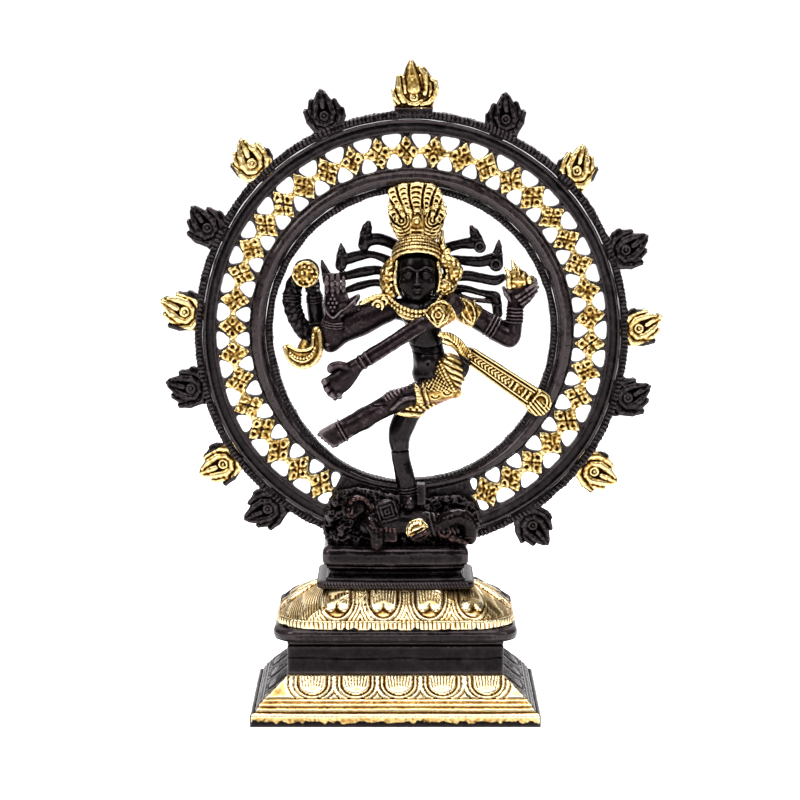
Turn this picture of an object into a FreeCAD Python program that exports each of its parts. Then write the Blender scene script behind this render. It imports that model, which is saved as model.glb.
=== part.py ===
# Brass nataraja statue: a dancing figure inside a ring of flames, on a tiered lotus pedestal.
# Millimetres, +Z up. The statue faces -Y, and +X is on the right of someone who faces it.
# The origin is the middle of the foot's rectangle, on the surface that the statue stands on.
# The ring stands a little to the right of that middle, as the casting has it.
import FreeCAD, Part
import Sketcher
import math
import os

Vector = FreeCAD.Vector
AXIS_X, AXIS_Y, AXIS_Z = Vector(1, 0, 0), Vector(0, 1, 0), Vector(0, 0, 1)
NO_TURN = FreeCAD.Rotation()

SIZES = {
    # Pedestal: the level of each tier's top, then each tier's width and depth.
    "foot_top": 4.7, "moulding_top": 9.2, "plinth_top": 17.0, "die_top": 29.5,
    "cornice_top": 35.0, "cushion_top": 47.4, "collar_top": 50.5, "neck_top": 55.5, "cap_top": 62.7,
    "foot_width": 106.0, "foot_depth": 64.0, "step_width": 103.6, "step_depth": 61.6,
    "moulding_width": 96.6, "moulding_depth": 56.0,
    "die_width": 79.2, "die_depth": 44.0, "cornice_width": 89.5, "cornice_depth": 54.0,
    "cushion_width": 87.0, "cushion_depth": 51.0, "cushion_crown_width": 60.0,
    "cushion_crown_depth": 34.0, "collar_width": 58.3, "collar_depth": 32.0,
    "neck_width": 49.0, "neck_depth": 24.0, "cap_width": 54.0, "cap_depth": 27.0,
    "bow": 1.6, "cornice_nose": 2.4, "cap_round": 2.2, "collar_round": 1.3,
    "casting_wall": 3.6, "die_roof": 3.5,
    # The bolt that clamps the tiers.
    "stud_radius": 2.5, "stud_hole_radius": 2.8, "stud_bottom": 19.0, "stud_top": 59.2,
    "washer_radius": 5.5, "washer_thick": 1.1, "nut_radius": 4.6, "nut_thick": 4.0,
    # Ring of fire: its middle, and the radius at which each band begins.
    "ring_middle_x": 5.9, "ring_middle_z": 141.4, "ring_thick": 5.6, "rope_thick": 5.0,
    "opening_radius": 51.7, "inner_hoop_radius": 54.3, "lattice_radius": 59.5,
    "outer_hoop_radius": 72.4, "outer_rope_radius": 77.2, "ring_radius": 80.5, "rope_round": 1.1,
    "link_thick": 3.6, "link_half_width": 4.98, "link_tip": 1.6, "link_side": 0.6,
    "link_pitch": 8.7, "first_link_angle": -149.5, "rosette_half": 4.6, "rosette_thick": 0.9,
    "flame_thick": 3.6, "flame_root_radius": 79.0, "flame_length": 13.3, "flame_width": 13.0,
    "top_flame_length": 19.6, "top_flame_width": 16.6,
    # The figure and the ground it dances on.
    "girth": 1.0, "mound_back": 6.0, "mound_front": -5.0,
    "crown_back": -2.8, "crown_thick": 3.6, "sash_thick": 2.2,
}

LINK_COUNT = 36

# Each flame's place round the ring and the way its tip leans, in degrees from the top, clockwise
# when seen from the front. The flame at the top comes first and is the largest.
FLAMES = [
    (0.5, 0), (24.9, 5), (47.2, 20), (69.5, 63), (90.6, 68), (109.4, 70), (128.1, 122), (148.2, 148),
    (-142.5, -121), (-125.7, -120), (-106, -83), (-86.2, -68), (-64.3, -42), (-44, -32), (-22.4, -14),
]

# Half of a flame's outline, from its root to its tip: shares of its width and of its length.
FLAME_SIDE = [(0.22, 0.0), (0.42, 0.22), (0.5, 0.52), (0.33, 0.46), (0.36, 0.78), (0.16, 0.62)]

# Each limb is a chain of joints: x, y, z and the flesh's radius there.
CHAINS = {
    "torso": [
        [(10, -5, 146.5, 6.6), (10.4, -5, 138, 5.0), (10.8, -5, 133, 4.4), (12, -5.2, 128.5, 4.8)],
        [(-0.5, -4, 150.3, 3.5), (10, -4.6, 149.4, 4.6), (21, -4.4, 151, 3.7)],
    ],
    "standing_leg": [
        [(18, -5.5, 122, 4.9), (9.5, -7.5, 114.5, 4.5), (0.7, -9.5, 107, 3.9), (0.9, -9.3, 97.5, 3.6),
         (3.2, -8.6, 86, 2.7), (3.7, -8.2, 80.2, 2.6), (10.8, -11, 78.4, 1.8)],
    ],
    "raised_leg": [
        [(19, -8, 124, 4.7), (11, -11.5, 121, 4.3), (1, -13.5, 117.3, 3.8), (-9, -13.5, 111.6, 3.5),
         (-17, -13, 106.3, 2.8), (-21.5, -13, 104, 2.7), (-27, -12.5, 100.8, 2.1)],
    ],
    "front_left_arm": [
        [(21.3, -7.5, 151.3, 3.8), (17, -10.5, 148.7, 3.4), (2, -14, 140.4, 3.0),
         (-11.8, -15, 132.3, 2.5), (-17, -15, 127.8, 2.6), (-23.5, -14.5, 121.8, 1.4)],
        [(-15.5, -16, 130.5, 1.4), (-21.3, -16.4, 130.2, 1.1)],
    ],
    "front_right_arm": [
        [(-1, -5.5, 150.4, 3.6), (-13, -7.5, 145.2, 3.4), (-25.6, -9.5, 139.4, 3.2),
         (-23, -11.5, 146.5, 2.6), (-22.3, -12.5, 152.5, 3.2), (-23.3, -12.5, 159, 2.4),
         (-23.8, -12.5, 164, 1.5)],
        [(-19.8, -13, 151, 1.6), (-15, -13, 154.4, 1.1)],
    ],
    "rear_right_arm": [
        [(-2, -1, 149.4, 3.2), (-14, 1, 144.5, 3.0), (-28.6, 1, 140.5, 3.1), (-30, -0.5, 150, 2.8),
         (-30.3, -1.5, 156, 2.3), (-31.2, -2.5, 159.6, 2.6)],
    ],
    "rear_left_arm": [
        [(22.5, -2, 150.6, 3.5), (41.3, -2.5, 139.6, 3.6), (44, -3.5, 149.5, 2.6),
         (44.6, -4, 154.6, 2.8), (51.2, -4, 156.2, 1.3)],
    ],
    "serpent_body": [
        [(-35.6, -2.8, 159, 2.3), (-39, -3, 156, 2.5), (-40.6, -3.5, 151, 2.6), (-39.3, -4, 146, 2.7),
         (-36, -4.5, 141.5, 2.6), (-32, -5, 138, 2.5)],
    ],
    "serpent_head": [
        [(-29.8, -13, 142.8, 1.3), (-28, -13.6, 136.6, 1.8), (-33.9, -12, 131, 2.2),
         (-40.1, -10, 134.7, 1.2)],
        [(-33, -5.8, 136.6, 1.9), (-34.2, -11, 131.6, 1.8)],
    ],
    "hair_lock_left": [[(-1.6, -5, 167, 2.2), (-3.0, -5, 161, 2.8), (-1.5, -5, 155.4, 1.9)]],
    "hair_lock_right": [
        [(17.6, -5, 168.5, 2.2), (21.4, -5, 165.4, 3.3), (19.8, -5, 159.6, 2.5), (22, -5, 156.4, 1.7)],
    ],
    "fan_arms_left": [
        [(5, 1.5, 150, 2.9), (4.8, 3.4, 156, 2.8), (4.8, 3.4, 166, 2.6)],
        [(4.4, 3.2, 166, 2.3), (0.6, 3, 172.9, 2.2), (-11.1, 1.6, 175.1, 1.9), (-9.6, 1.6, 181.6, 1.0)],
        [(4, 3.2, 163, 2.4), (-2, 2.4, 166.5, 2.3), (-20.9, 1.6, 167.2, 1.9), (-19.8, 1.6, 173.7, 1.0)],
        [(4, 3.2, 159, 2.4), (-3.8, 2.2, 163, 2.3), (-26.4, 1.6, 161.7, 1.8), (-27, 1.6, 167.4, 0.9)],
        [(4, 3.2, 155, 2.4), (-5.6, 2, 158.5, 2.2), (-17.7, 1.6, 155.7, 1.5)],
    ],
    "fan_arms_right": [
        [(11, 1.5, 150, 2.9), (11.2, 3.4, 156, 2.8), (11.2, 3.4, 166, 2.6)],
        [(11.6, 3.2, 166, 2.3), (19.1, 3, 173.4, 2.2), (31.1, 1.6, 174, 1.9), (27.6, 1.6, 180.1, 1.0)],
        [(12, 3.2, 163, 2.4), (19.9, 2.4, 167.6, 2.3), (37.4, 1.6, 167.1, 1.9), (37.7, 1.6, 175, 1.0)],
        [(12, 3.2, 159, 2.4), (23.5, 2.2, 162, 2.3), (37.2, 1.6, 160.4, 1.7)],
        [(12, 3.2, 155, 2.4), (23.6, 2, 157.2, 2.2), (37.6, 1.6, 149.6, 1.7)],
    ],
    "dwarf_body": [[(-9, -8.5, 70, 4.6), (3, -9, 71.4, 5.2), (15, -9, 70, 4.9), (21, -9, 69, 4.3)]],
    "dwarf_arm": [[(-10.5, -11, 72, 2.2), (-8.6, -15, 68.4, 2.1), (-7.4, -15, 65, 2.2)]],
    "dwarf_legs": [[(17, -11, 70, 3.3), (24.8, -13.5, 73.8, 2.9), (27.6, -11, 65.4, 2.5)]],
}

# Bands wound round a limb: each end's x, y, z and the band's radius.
BANDS = {
    "front_left_armlet": ((19.4, -8.8, 150.2), (15.0, -10.9, 147.5), 4.6, 4.3),
    "rear_left_armlet": ((26.4, -2.1, 148.3), (30.2, -2.2, 146.1), 4.7, 4.5),
}

# Neighbours that each node gives way to, so that the pieces meet face to face.
GIVES_WAY = {
    "rockwork_mound": ["inner_hoop", "inner_rope_edge", "outer_hoop", "outer_rope_edge",
                       "lattice_links"],
    "dwarf_body": ["rockwork_mound"],
    "dwarf_head": ["dwarf_body", "rockwork_mound"],
    "dwarf_arm": ["dwarf_body", "rockwork_mound", "dwarf_head"],
    "dwarf_legs": ["dwarf_body", "rockwork_mound"],
    "dwarf_ornament": ["dwarf_body", "dwarf_arm", "dwarf_legs"],
    "dhoti": ["torso"],
    "standing_leg": ["torso", "dhoti", "dwarf_body", "rockwork_mound", "dwarf_ornament"],
    "raised_leg": ["dhoti", "torso", "standing_leg", "inner_rope_edge"],
    "head": ["torso"],
    "necklace": ["torso", "head"],
    "diadem": ["head"],
    "crown_fan": ["head", "diadem"],
    "hair_lock_left": ["head", "diadem"],
    "hair_lock_right": ["head", "diadem"],
    "front_left_arm": ["torso", "necklace"],
    "front_left_armlet": ["front_left_arm", "torso", "necklace"],
    "front_right_arm": ["torso", "necklace"],
    "rear_right_arm": ["torso", "front_right_arm"],
    "drum": ["rear_right_arm"],
    "serpent_body": ["rear_right_arm", "front_right_arm", "drum"],
    "serpent_head": ["serpent_body", "front_right_arm"],
    "rear_left_arm": ["torso", "front_left_arm", "front_left_armlet"],
    "rear_left_armlet": ["rear_left_arm", "torso"],
    "fire_bowl": ["rear_left_arm"],
    "sash": ["torso", "front_left_arm", "front_left_armlet", "necklace", "dhoti", "raised_leg"],
    "fan_arms_left": ["torso"],
    "fan_arms_right": ["torso"],
}

doc = FreeCAD.newDocument("nataraja_statue")
sheet = doc.addObject("Spreadsheet::Sheet", "Sizes")
for row, (alias, value) in enumerate(SIZES.items(), start=1):
    sheet.set(f"A{row}", alias)
    sheet.set(f"B{row}", str(value))
    sheet.setAlias(f"B{row}", alias)
doc.recompute()

nodes = {}


def keep(name, piece):
    """Enter a finished piece as the node of that name."""
    piece.Label = name
    nodes[name] = piece
    return piece


def size(alias):
    return float(sheet.get(alias))


# ---------------------------------------------------------------- sketches and simple features

def attach(body, sketch, level=None):
    """Lay a sketch on its body's XY plane, or at a level above it."""
    ground = next(item for item in body.Origin.OriginFeatures if item.Role == "XY_Plane")
    sketch.AttachmentSupport = [(ground, "")]
    sketch.MapMode = "FlatFace"
    if level:
        sketch.setExpression("AttachmentOffset.Base.z", level)


def bind(sketch, constraint, expression):
    """Add a named dimension and bind it to the sheet."""
    name = f"size_{sketch.ConstraintCount}"
    index = sketch.addConstraint(constraint)
    sketch.renameConstraint(index, name)
    sketch.setExpression(f"Constraints.{name}", expression)


def plan_sketch(body, name, level, width, depth, bow=None):
    """A tier's plan, centred on the origin: a rectangle, or one whose front and back are bowed."""
    sketch = body.newObject("Sketcher::SketchObject", name)
    attach(body, sketch, level)
    half_x, half_y = 20.0, 12.0
    corners = [Vector(-half_x, -half_y, 0), Vector(half_x, -half_y, 0),
               Vector(half_x, half_y, 0), Vector(-half_x, half_y, 0)]
    for index, start in enumerate(corners):
        end = corners[(index + 1) % 4]
        across = index % 2 == 0
        if bow and across:
            outward = Vector(0, -2 if index == 0 else 2, 0)
            sketch.addGeometry(Part.Arc(start, (start + end) * 0.5 + outward, end))
        else:
            sketch.addGeometry(Part.LineSegment(start, end))
            sketch.addConstraint(Sketcher.Constraint("Horizontal" if across else "Vertical", index))
    # An arc drawn through three points runs counter-clockwise, so its first point is the start.
    for index in range(4):
        sketch.addConstraint(Sketcher.Constraint("Coincident", index, 2, (index + 1) % 4, 1))
    sketch.addConstraint(Sketcher.Constraint("Symmetric", 1, 1, 3, 1, -1, 1))
    bind(sketch, Sketcher.Constraint("DistanceX", 3, 1, 1, 1, 2 * half_x), width)
    bind(sketch, Sketcher.Constraint("DistanceY", 1, 1, 1, 2, 2 * half_y), depth)
    if bow:
        for arc in (0, 2):
            radius = sketch.Geometry[arc].Radius
            bind(sketch, Sketcher.Constraint("Radius", arc, radius),
                 f"(({width}) * ({width}) / 4 + {bow} * {bow}) / (2 * {bow})")
    return sketch


def circle_sketch(body, name, level, radius):
    sketch = body.newObject("Sketcher::SketchObject", name)
    attach(body, sketch, level)
    sketch.addGeometry(Part.Circle(Vector(0, 0, 0), AXIS_Z, 2.0))
    sketch.addConstraint(Sketcher.Constraint("Coincident", 0, 3, -1, 1))
    bind(sketch, Sketcher.Constraint("Radius", 0, 2.0), radius)
    return sketch


def pad(body, name, sketch, length):
    feature = body.newObject("PartDesign::Pad", name)
    feature.Profile = sketch
    feature.setExpression("Length", length)
    return feature


def pocket_up(body, name, sketch, length):
    """Cut upwards from the sketch's level."""
    feature = body.newObject("PartDesign::Pocket", name)
    feature.Profile = sketch
    feature.Reversed = True
    feature.setExpression("Length", length)
    return feature


def loft(body, name, sketches, kind="PartDesign::AdditiveLoft", ruled=True):
    feature = body.newObject(kind, name)
    feature.Profile = sketches[0]
    feature.Sections = sketches[1:]
    feature.Ruled = ruled
    return feature


def round_edges(body, name, feature, radius, wanted):
    """Fillet the edges of a feature that the test picks out."""
    doc.recompute()
    edges = [f"Edge{i}" for i, edge in enumerate(feature.Shape.Edges, start=1) if wanted(edge)]
    fillet = body.newObject("PartDesign::Fillet", name)
    fillet.Base = (feature, edges)
    fillet.setExpression("Radius", radius)
    return fillet


def level_edge(level):
    """Test for an edge that lies flat at a level of the pedestal."""
    return lambda edge: abs(edge.BoundBox.ZMin - level) < 0.01 and abs(edge.BoundBox.ZMax - level) < 0.01


def stud_hole(body, bottom, top, radius="Sizes.stud_hole_radius"):
    sketch = circle_sketch(body, body.Name + "_stud_hole", bottom, radius)
    return pocket_up(body, body.Name + "_stud_bore", sketch, f"{top} - {bottom}")


# ---------------------------------------------------------------- pedestal

def lotus_plinth():
    body = doc.addObject("PartDesign::Body", "lotus_plinth")
    foot = plan_sketch(body, "foot_plan", "0", "Sizes.foot_width", "Sizes.foot_depth")
    pad(body, "foot", foot, "Sizes.foot_top")
    step = plan_sketch(body, "step_plan", "Sizes.foot_top", "Sizes.step_width", "Sizes.step_depth")
    rim = plan_sketch(body, "moulding_plan", "Sizes.moulding_top", "Sizes.moulding_width",
                      "Sizes.moulding_depth")
    loft(body, "stepped_moulding", [step, rim])
    petal_foot = plan_sketch(body, "petal_foot_plan", "Sizes.moulding_top",
                             "Sizes.moulding_width", "Sizes.moulding_depth")
    petal_top = plan_sketch(body, "petal_top_plan", "Sizes.plinth_top",
                            "Sizes.die_width", "Sizes.die_depth")
    loft(body, "petal_slope", [petal_foot, petal_top])
    mouth = plan_sketch(body, "hollow_mouth_plan", "0", "Sizes.foot_width - 3 * Sizes.casting_wall",
                        "Sizes.foot_depth - 3 * Sizes.casting_wall")
    throat = plan_sketch(body, "hollow_throat_plan", "Sizes.plinth_top",
                         "Sizes.die_width - 2 * Sizes.casting_wall",
                         "Sizes.die_depth - 2 * Sizes.casting_wall")
    loft(body, "hollow", [mouth, throat], kind="PartDesign::SubtractiveLoft")
    return keep("lotus_plinth", body)


def plinth_die():
    body = doc.addObject("PartDesign::Body", "plinth_die")
    block = plan_sketch(body, "die_plan", "Sizes.plinth_top", "Sizes.die_width", "Sizes.die_depth")
    pad(body, "die_block", block, "Sizes.die_top - Sizes.plinth_top")
    hollow = plan_sketch(body, "die_hollow_plan", "Sizes.plinth_top",
                         "Sizes.die_width - 2 * Sizes.casting_wall",
                         "Sizes.die_depth - 2 * Sizes.casting_wall")
    pocket_up(body, "die_hollow", hollow, "Sizes.die_top - Sizes.die_roof - Sizes.plinth_top")
    stud_hole(body, "Sizes.die_top - Sizes.die_roof", "Sizes.die_top")
    return keep("plinth_die", body)


def cornice_slab():
    body = doc.addObject("PartDesign::Body", "cornice_slab")
    plan = plan_sketch(body, "cornice_plan", "Sizes.die_top", "Sizes.cornice_width",
                       "Sizes.cornice_depth")
    slab = pad(body, "slab", plan, "Sizes.cornice_top - Sizes.die_top")
    top, bottom = level_edge(size("cornice_top")), level_edge(size("die_top"))
    round_edges(body, "bull_nose", slab, "Sizes.cornice_nose", lambda edge: top(edge) or bottom(edge))
    stud_hole(body, "Sizes.die_top", "Sizes.cornice_top")
    return keep("cornice_slab", body)


def lotus_cushion():
    """A domed lotus: an upright beaded band, then sides that curve in to the crown."""
    body = doc.addObject("PartDesign::Body", "lotus_cushion")
    rise = "(Sizes.cushion_top - Sizes.cornice_top)"
    width_in = "(Sizes.cushion_width - Sizes.cushion_crown_width)"
    depth_in = "(Sizes.cushion_depth - Sizes.cushion_crown_depth)"
    plans = []
    for number, (height, inward) in enumerate([(0, 0), (0.24, 0.02), (0.5, 0.16), (0.78, 0.55), (1, 1)]):
        plans.append(plan_sketch(
            body, f"cushion_plan_{number}", f"Sizes.cornice_top + {height} * {rise}",
            f"Sizes.cushion_width - {inward} * {width_in}",
            f"Sizes.cushion_depth - {inward} * {depth_in}", "Sizes.bow"))
    loft(body, "dome", plans)
    stud_hole(body, "Sizes.cornice_top", "Sizes.cushion_top")
    return keep("lotus_cushion", body)


def rope_collar():
    body = doc.addObject("PartDesign::Body", "rope_collar")
    plan = plan_sketch(body, "collar_plan", "Sizes.cushion_top", "Sizes.collar_width",
                       "Sizes.collar_depth", "Sizes.bow")
    band = pad(body, "band", plan, "Sizes.collar_top - Sizes.cushion_top")
    top, bottom = level_edge(size("collar_top")), level_edge(size("cushion_top"))
    round_edges(body, "rope_round", band, "Sizes.collar_round", lambda edge: top(edge) or bottom(edge))
    stud_hole(body, "Sizes.cushion_top", "Sizes.collar_top")
    return keep("rope_collar", body)


def pedestal_neck():
    body = doc.addObject("PartDesign::Body", "pedestal_neck")
    plans = []
    for number, (height, swell) in enumerate([(0, 2.4), (0.35, 0.3), (0.65, 0.3), (1, 2.4)]):
        plans.append(plan_sketch(
            body, f"neck_plan_{number}",
            f"Sizes.collar_top + {height} * (Sizes.neck_top - Sizes.collar_top)",
            f"Sizes.neck_width + {swell}", f"Sizes.neck_depth + {swell}", "Sizes.bow"))
    loft(body, "waist", plans)
    stud_hole(body, "Sizes.collar_top", "Sizes.neck_top")
    return keep("pedestal_neck", body)


def pedestal_cap():
    """The cap, with a groove in its top that the foot of the ring sits in."""
    body = doc.addObject("PartDesign::Body", "cap_blank")
    plan = plan_sketch(body, "cap_plan", "Sizes.neck_top", "Sizes.cap_width", "Sizes.cap_depth",
                       "Sizes.bow")
    block = pad(body, "cap_block", plan, "Sizes.cap_top - Sizes.neck_top")
    top, bottom = level_edge(size("cap_top")), level_edge(size("neck_top"))
    round_edges(body, "cap_round_edges", block, "Sizes.cap_round",
                lambda edge: top(edge) or bottom(edge))
    stud_hole(body, "Sizes.neck_top", "Sizes.stud_top", "Sizes.stud_radius")
    groove = doc.addObject("Part::Cut", "pedestal_cap")
    groove.Base = body
    groove.Tool = ring_disc("cap_groove")
    return keep("pedestal_cap", groove)


def ring_disc(name):
    """A solid disc the size of the whole ring, for cutting what the ring sits against."""
    disc = doc.addObject("Part::Cylinder", name)
    disc.setExpression("Radius", "Sizes.ring_radius")
    disc.setExpression("Height", "Sizes.ring_thick")
    disc.Placement = FreeCAD.Placement(Vector(0, 0, 0), FreeCAD.Rotation(AXIS_X, 90))
    disc.setExpression("Placement.Base.x", "Sizes.ring_middle_x")
    disc.setExpression("Placement.Base.y", "Sizes.ring_thick / 2")
    disc.setExpression("Placement.Base.z", "Sizes.ring_middle_z")
    return disc


def fixing():
    """The stud that is screwed into the cap, with its washer and nut inside the hollow die."""
    stud = doc.addObject("Part::Cylinder", "fixing_stud")
    stud.setExpression("Radius", "Sizes.stud_radius")
    stud.setExpression("Height", "Sizes.stud_top - Sizes.stud_bottom")
    stud.setExpression("Placement.Base.z", "Sizes.stud_bottom")
    keep("fixing_stud", stud)
    washer_base = "Sizes.die_top - Sizes.die_roof - Sizes.washer_thick"
    disc = doc.addObject("Part::Cylinder", "washer_disc")
    disc.setExpression("Radius", "Sizes.washer_radius")
    disc.setExpression("Height", "Sizes.washer_thick")
    disc.setExpression("Placement.Base.z", washer_base)
    hexagon = doc.addObject("Part::Prism", "nut_hexagon")
    hexagon.Polygon = 6
    hexagon.setExpression("Circumradius", "Sizes.nut_radius")
    hexagon.setExpression("Height", "Sizes.nut_thick")
    hexagon.setExpression("Placement.Base.z", washer_base + " - Sizes.nut_thick")
    for name, blank in (("fixing_washer", disc), ("fixing_nut", hexagon)):
        cut = doc.addObject("Part::Cut", name)
        cut.Base = blank
        cut.Tool = stud
        keep(name, cut)


# ---------------------------------------------------------------- ring of fire

def hoop(name, inner, outer, thick, round_radius=None):
    """A band of the ring, turned round the ring's own axis, which lies along Y."""
    body = doc.addObject("PartDesign::Body", name)
    sketch = body.newObject("Sketcher::SketchObject", name + "_section")
    attach(body, sketch)
    low, high = Vector(50, -2, 0), Vector(55, 2, 0)
    corners = [low, Vector(high.x, low.y, 0), high, Vector(low.x, high.y, 0)]
    for index, start in enumerate(corners):
        sketch.addGeometry(Part.LineSegment(start, corners[(index + 1) % 4]))
        if index != 1:
            way = "Horizontal" if index % 2 == 0 else "Vertical"
            sketch.addConstraint(Sketcher.Constraint(way, index))
    for index in range(4):
        sketch.addConstraint(Sketcher.Constraint("Coincident", index, 2, (index + 1) % 4, 1))
    sketch.addConstraint(Sketcher.Constraint("Symmetric", 1, 1, 1, 2, -1))
    bind(sketch, Sketcher.Constraint("DistanceX", -1, 1, 3, 1, low.x), inner)
    bind(sketch, Sketcher.Constraint("DistanceX", -1, 1, 1, 1, high.x), outer)
    bind(sketch, Sketcher.Constraint("DistanceY", 1, 1, 1, 2, 4.0), thick)
    turned = body.newObject("PartDesign::Revolution", name + "_turned")
    turned.Profile = sketch
    turned.ReferenceAxis = (sketch, ["V_Axis"])
    turned.Angle = 360
    if round_radius:
        rim = size("ring_radius") if name.startswith("outer") else size("opening_radius")
        round_edges(body, name + "_rounded", turned, round_radius,
                    lambda edge: hasattr(edge.Curve, "Radius") and abs(edge.Curve.Radius - rim) < 0.01)
    body.setExpression("Placement.Base.x", "Sizes.ring_middle_x")
    body.setExpression("Placement.Base.z", "Sizes.ring_middle_z")
    return keep(name, body)


def ring_place(angle, radius, depth, lean=None):
    """A placement on the ring: local X runs along the rim, Y outwards and Z towards the front."""
    turn = math.radians(angle)
    base = Vector(size("ring_middle_x") + radius * math.sin(turn), depth,
                  size("ring_middle_z") + radius * math.cos(turn))
    heading = angle if lean is None else lean
    rotation = FreeCAD.Rotation(AXIS_Y, heading).multiply(FreeCAD.Rotation(AXIS_X, 90))
    return FreeCAD.Placement(base, rotation)


def tiles(name, outline, thick, depth):
    """One convex tile for every link of the lattice."""
    middle = (size("lattice_radius") + size("outer_hoop_radius")) / 2
    face = Part.Face(Part.makePolygon([Vector(x, y, 0) for x, y in outline + outline[:1]]))
    tile = face.extrude(Vector(0, 0, thick))
    copies = []
    for number in range(LINK_COUNT):
        angle = size("first_link_angle") + number * size("link_pitch")
        copies.append(tile.copy())
        copies[-1].Placement = ring_place(angle, middle, depth)
    feature = doc.addObject("Part::Feature", name)
    feature.Shape = Part.makeCompound(copies)
    return keep(name, feature)


def lattice():
    """Openwork between the hoops: links that touch at their points, each with a gilt face."""
    reach = (size("outer_hoop_radius") - size("lattice_radius")) / 2 - 0.01
    tip, side, half = size("link_tip"), size("link_side"), size("link_half_width")
    link = [(-tip, reach), (-half, side), (-half, -side), (-tip, -reach),
            (tip, -reach), (half, -side), (half, side), (tip, reach)]
    tiles("lattice_links", link, size("link_thick"), size("link_thick") / 2)
    gilt = size("rosette_half")
    tiles("lattice_rosettes", [(0, gilt), (-gilt, 0), (0, -gilt), (gilt, 0)],
          size("rosette_thick"), -size("link_thick") / 2)


def flames():
    """Tongues of flame on the rim, each cut to sit on the ring's outer edge."""
    disc = ring_disc("flame_seat")
    for number, (angle, lean) in enumerate(FLAMES, start=1):
        kind = "top_flame" if number == 1 else "flame"
        width, length = size(kind + "_width"), size(kind + "_length")
        right = [(x * width, y * length) for x, y in FLAME_SIDE]
        outline = right + [(0, length)] + [(-x, y) for x, y in reversed(right)]
        body = doc.addObject("PartDesign::Body", f"flame_blank_{number:02d}")
        sketch = body.newObject("Sketcher::SketchObject", f"flame_outline_{number:02d}")
        attach(body, sketch)
        for index, point in enumerate(outline):
            after = outline[(index + 1) % len(outline)]
            sketch.addGeometry(Part.LineSegment(Vector(*point, 0), Vector(*after, 0)))
        for index in range(len(outline)):
            sketch.addConstraint(Sketcher.Constraint(
                "Coincident", index, 2, (index + 1) % len(outline), 1))
        pad(body, f"flame_plate_{number:02d}", sketch, "Sizes.flame_thick")
        body.Placement = ring_place(angle, size("flame_root_radius"), size("flame_thick") / 2, lean)
        cut = doc.addObject("Part::Cut", f"flame_{number:02d}")
        cut.Base = body
        cut.Tool = disc
        keep(f"flame_{number:02d}", cut)


# ---------------------------------------------------------------- figure and ground

def along(start, end):
    """The placement that lays a cone's axis from one point to another."""
    way = Vector(*end) - Vector(*start)
    return FreeCAD.Placement(Vector(*start), FreeCAD.Rotation(AXIS_Z, way)), way.Length


def ball(name, centre, radius):
    sphere = doc.addObject("Part::Sphere", name)
    sphere.setExpression("Radius", f"Sizes.girth * {radius}")
    sphere.Placement = FreeCAD.Placement(Vector(*centre), NO_TURN)
    return sphere


def cone(name, start, end, start_radius, end_radius):
    frustum = doc.addObject("Part::Cone", name)
    frustum.setExpression("Radius1", f"Sizes.girth * {start_radius}")
    frustum.setExpression("Radius2", f"Sizes.girth * {end_radius}")
    frustum.Placement, frustum.Height = along(start, end)
    return frustum


def egg(name, centre, half_x, half_y, half_z):
    """An ellipsoid with its axes along the statue's own."""
    shape = doc.addObject("Part::Ellipsoid", name)
    shape.setExpression("Radius1", f"Sizes.girth * {half_z}")
    shape.setExpression("Radius2", f"Sizes.girth * {half_x}")
    shape.setExpression("Radius3", f"Sizes.girth * {half_y}")
    shape.Placement = FreeCAD.Placement(Vector(*centre), NO_TURN)
    return shape


def fuse(name, shapes):
    joined = doc.addObject("Part::MultiFuse", name)
    joined.Shapes = shapes
    joined.Refine = False
    return joined


def chain_parts(name, chains):
    """A ball at each joint and a cone along each bone. The balls stand a little proud."""
    swell = 1.02
    parts = []
    for number, joints in enumerate(chains):
        for index, (*point, radius) in enumerate(joints):
            parts.append(ball(f"{name}_ball_{number}_{index}", point, radius * swell))
        for index in range(len(joints) - 1):
            (*start, thick), (*end, thin) = joints[index], joints[index + 1]
            thin = thin if thin != thick else thin * 0.99
            parts.append(cone(f"{name}_bone_{number}_{index}", start, end, thick, thin))
    return parts


def outline_plate(name, points, back, thick):
    """A flat plate that faces the front: x and z of its corners, and the y of its back."""
    corners = [Vector(x, back, z) for x, z in points]
    polygon = doc.addObject("Part::Polygon", name + "_outline")
    polygon.Nodes = corners
    polygon.Close = True
    plate = doc.addObject("Part::Extrusion", name + "_plate")
    plate.Base = polygon
    plate.Dir = Vector(0, -1, 0)
    plate.Solid = True
    plate.LengthFwd = thick
    return plate


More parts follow.
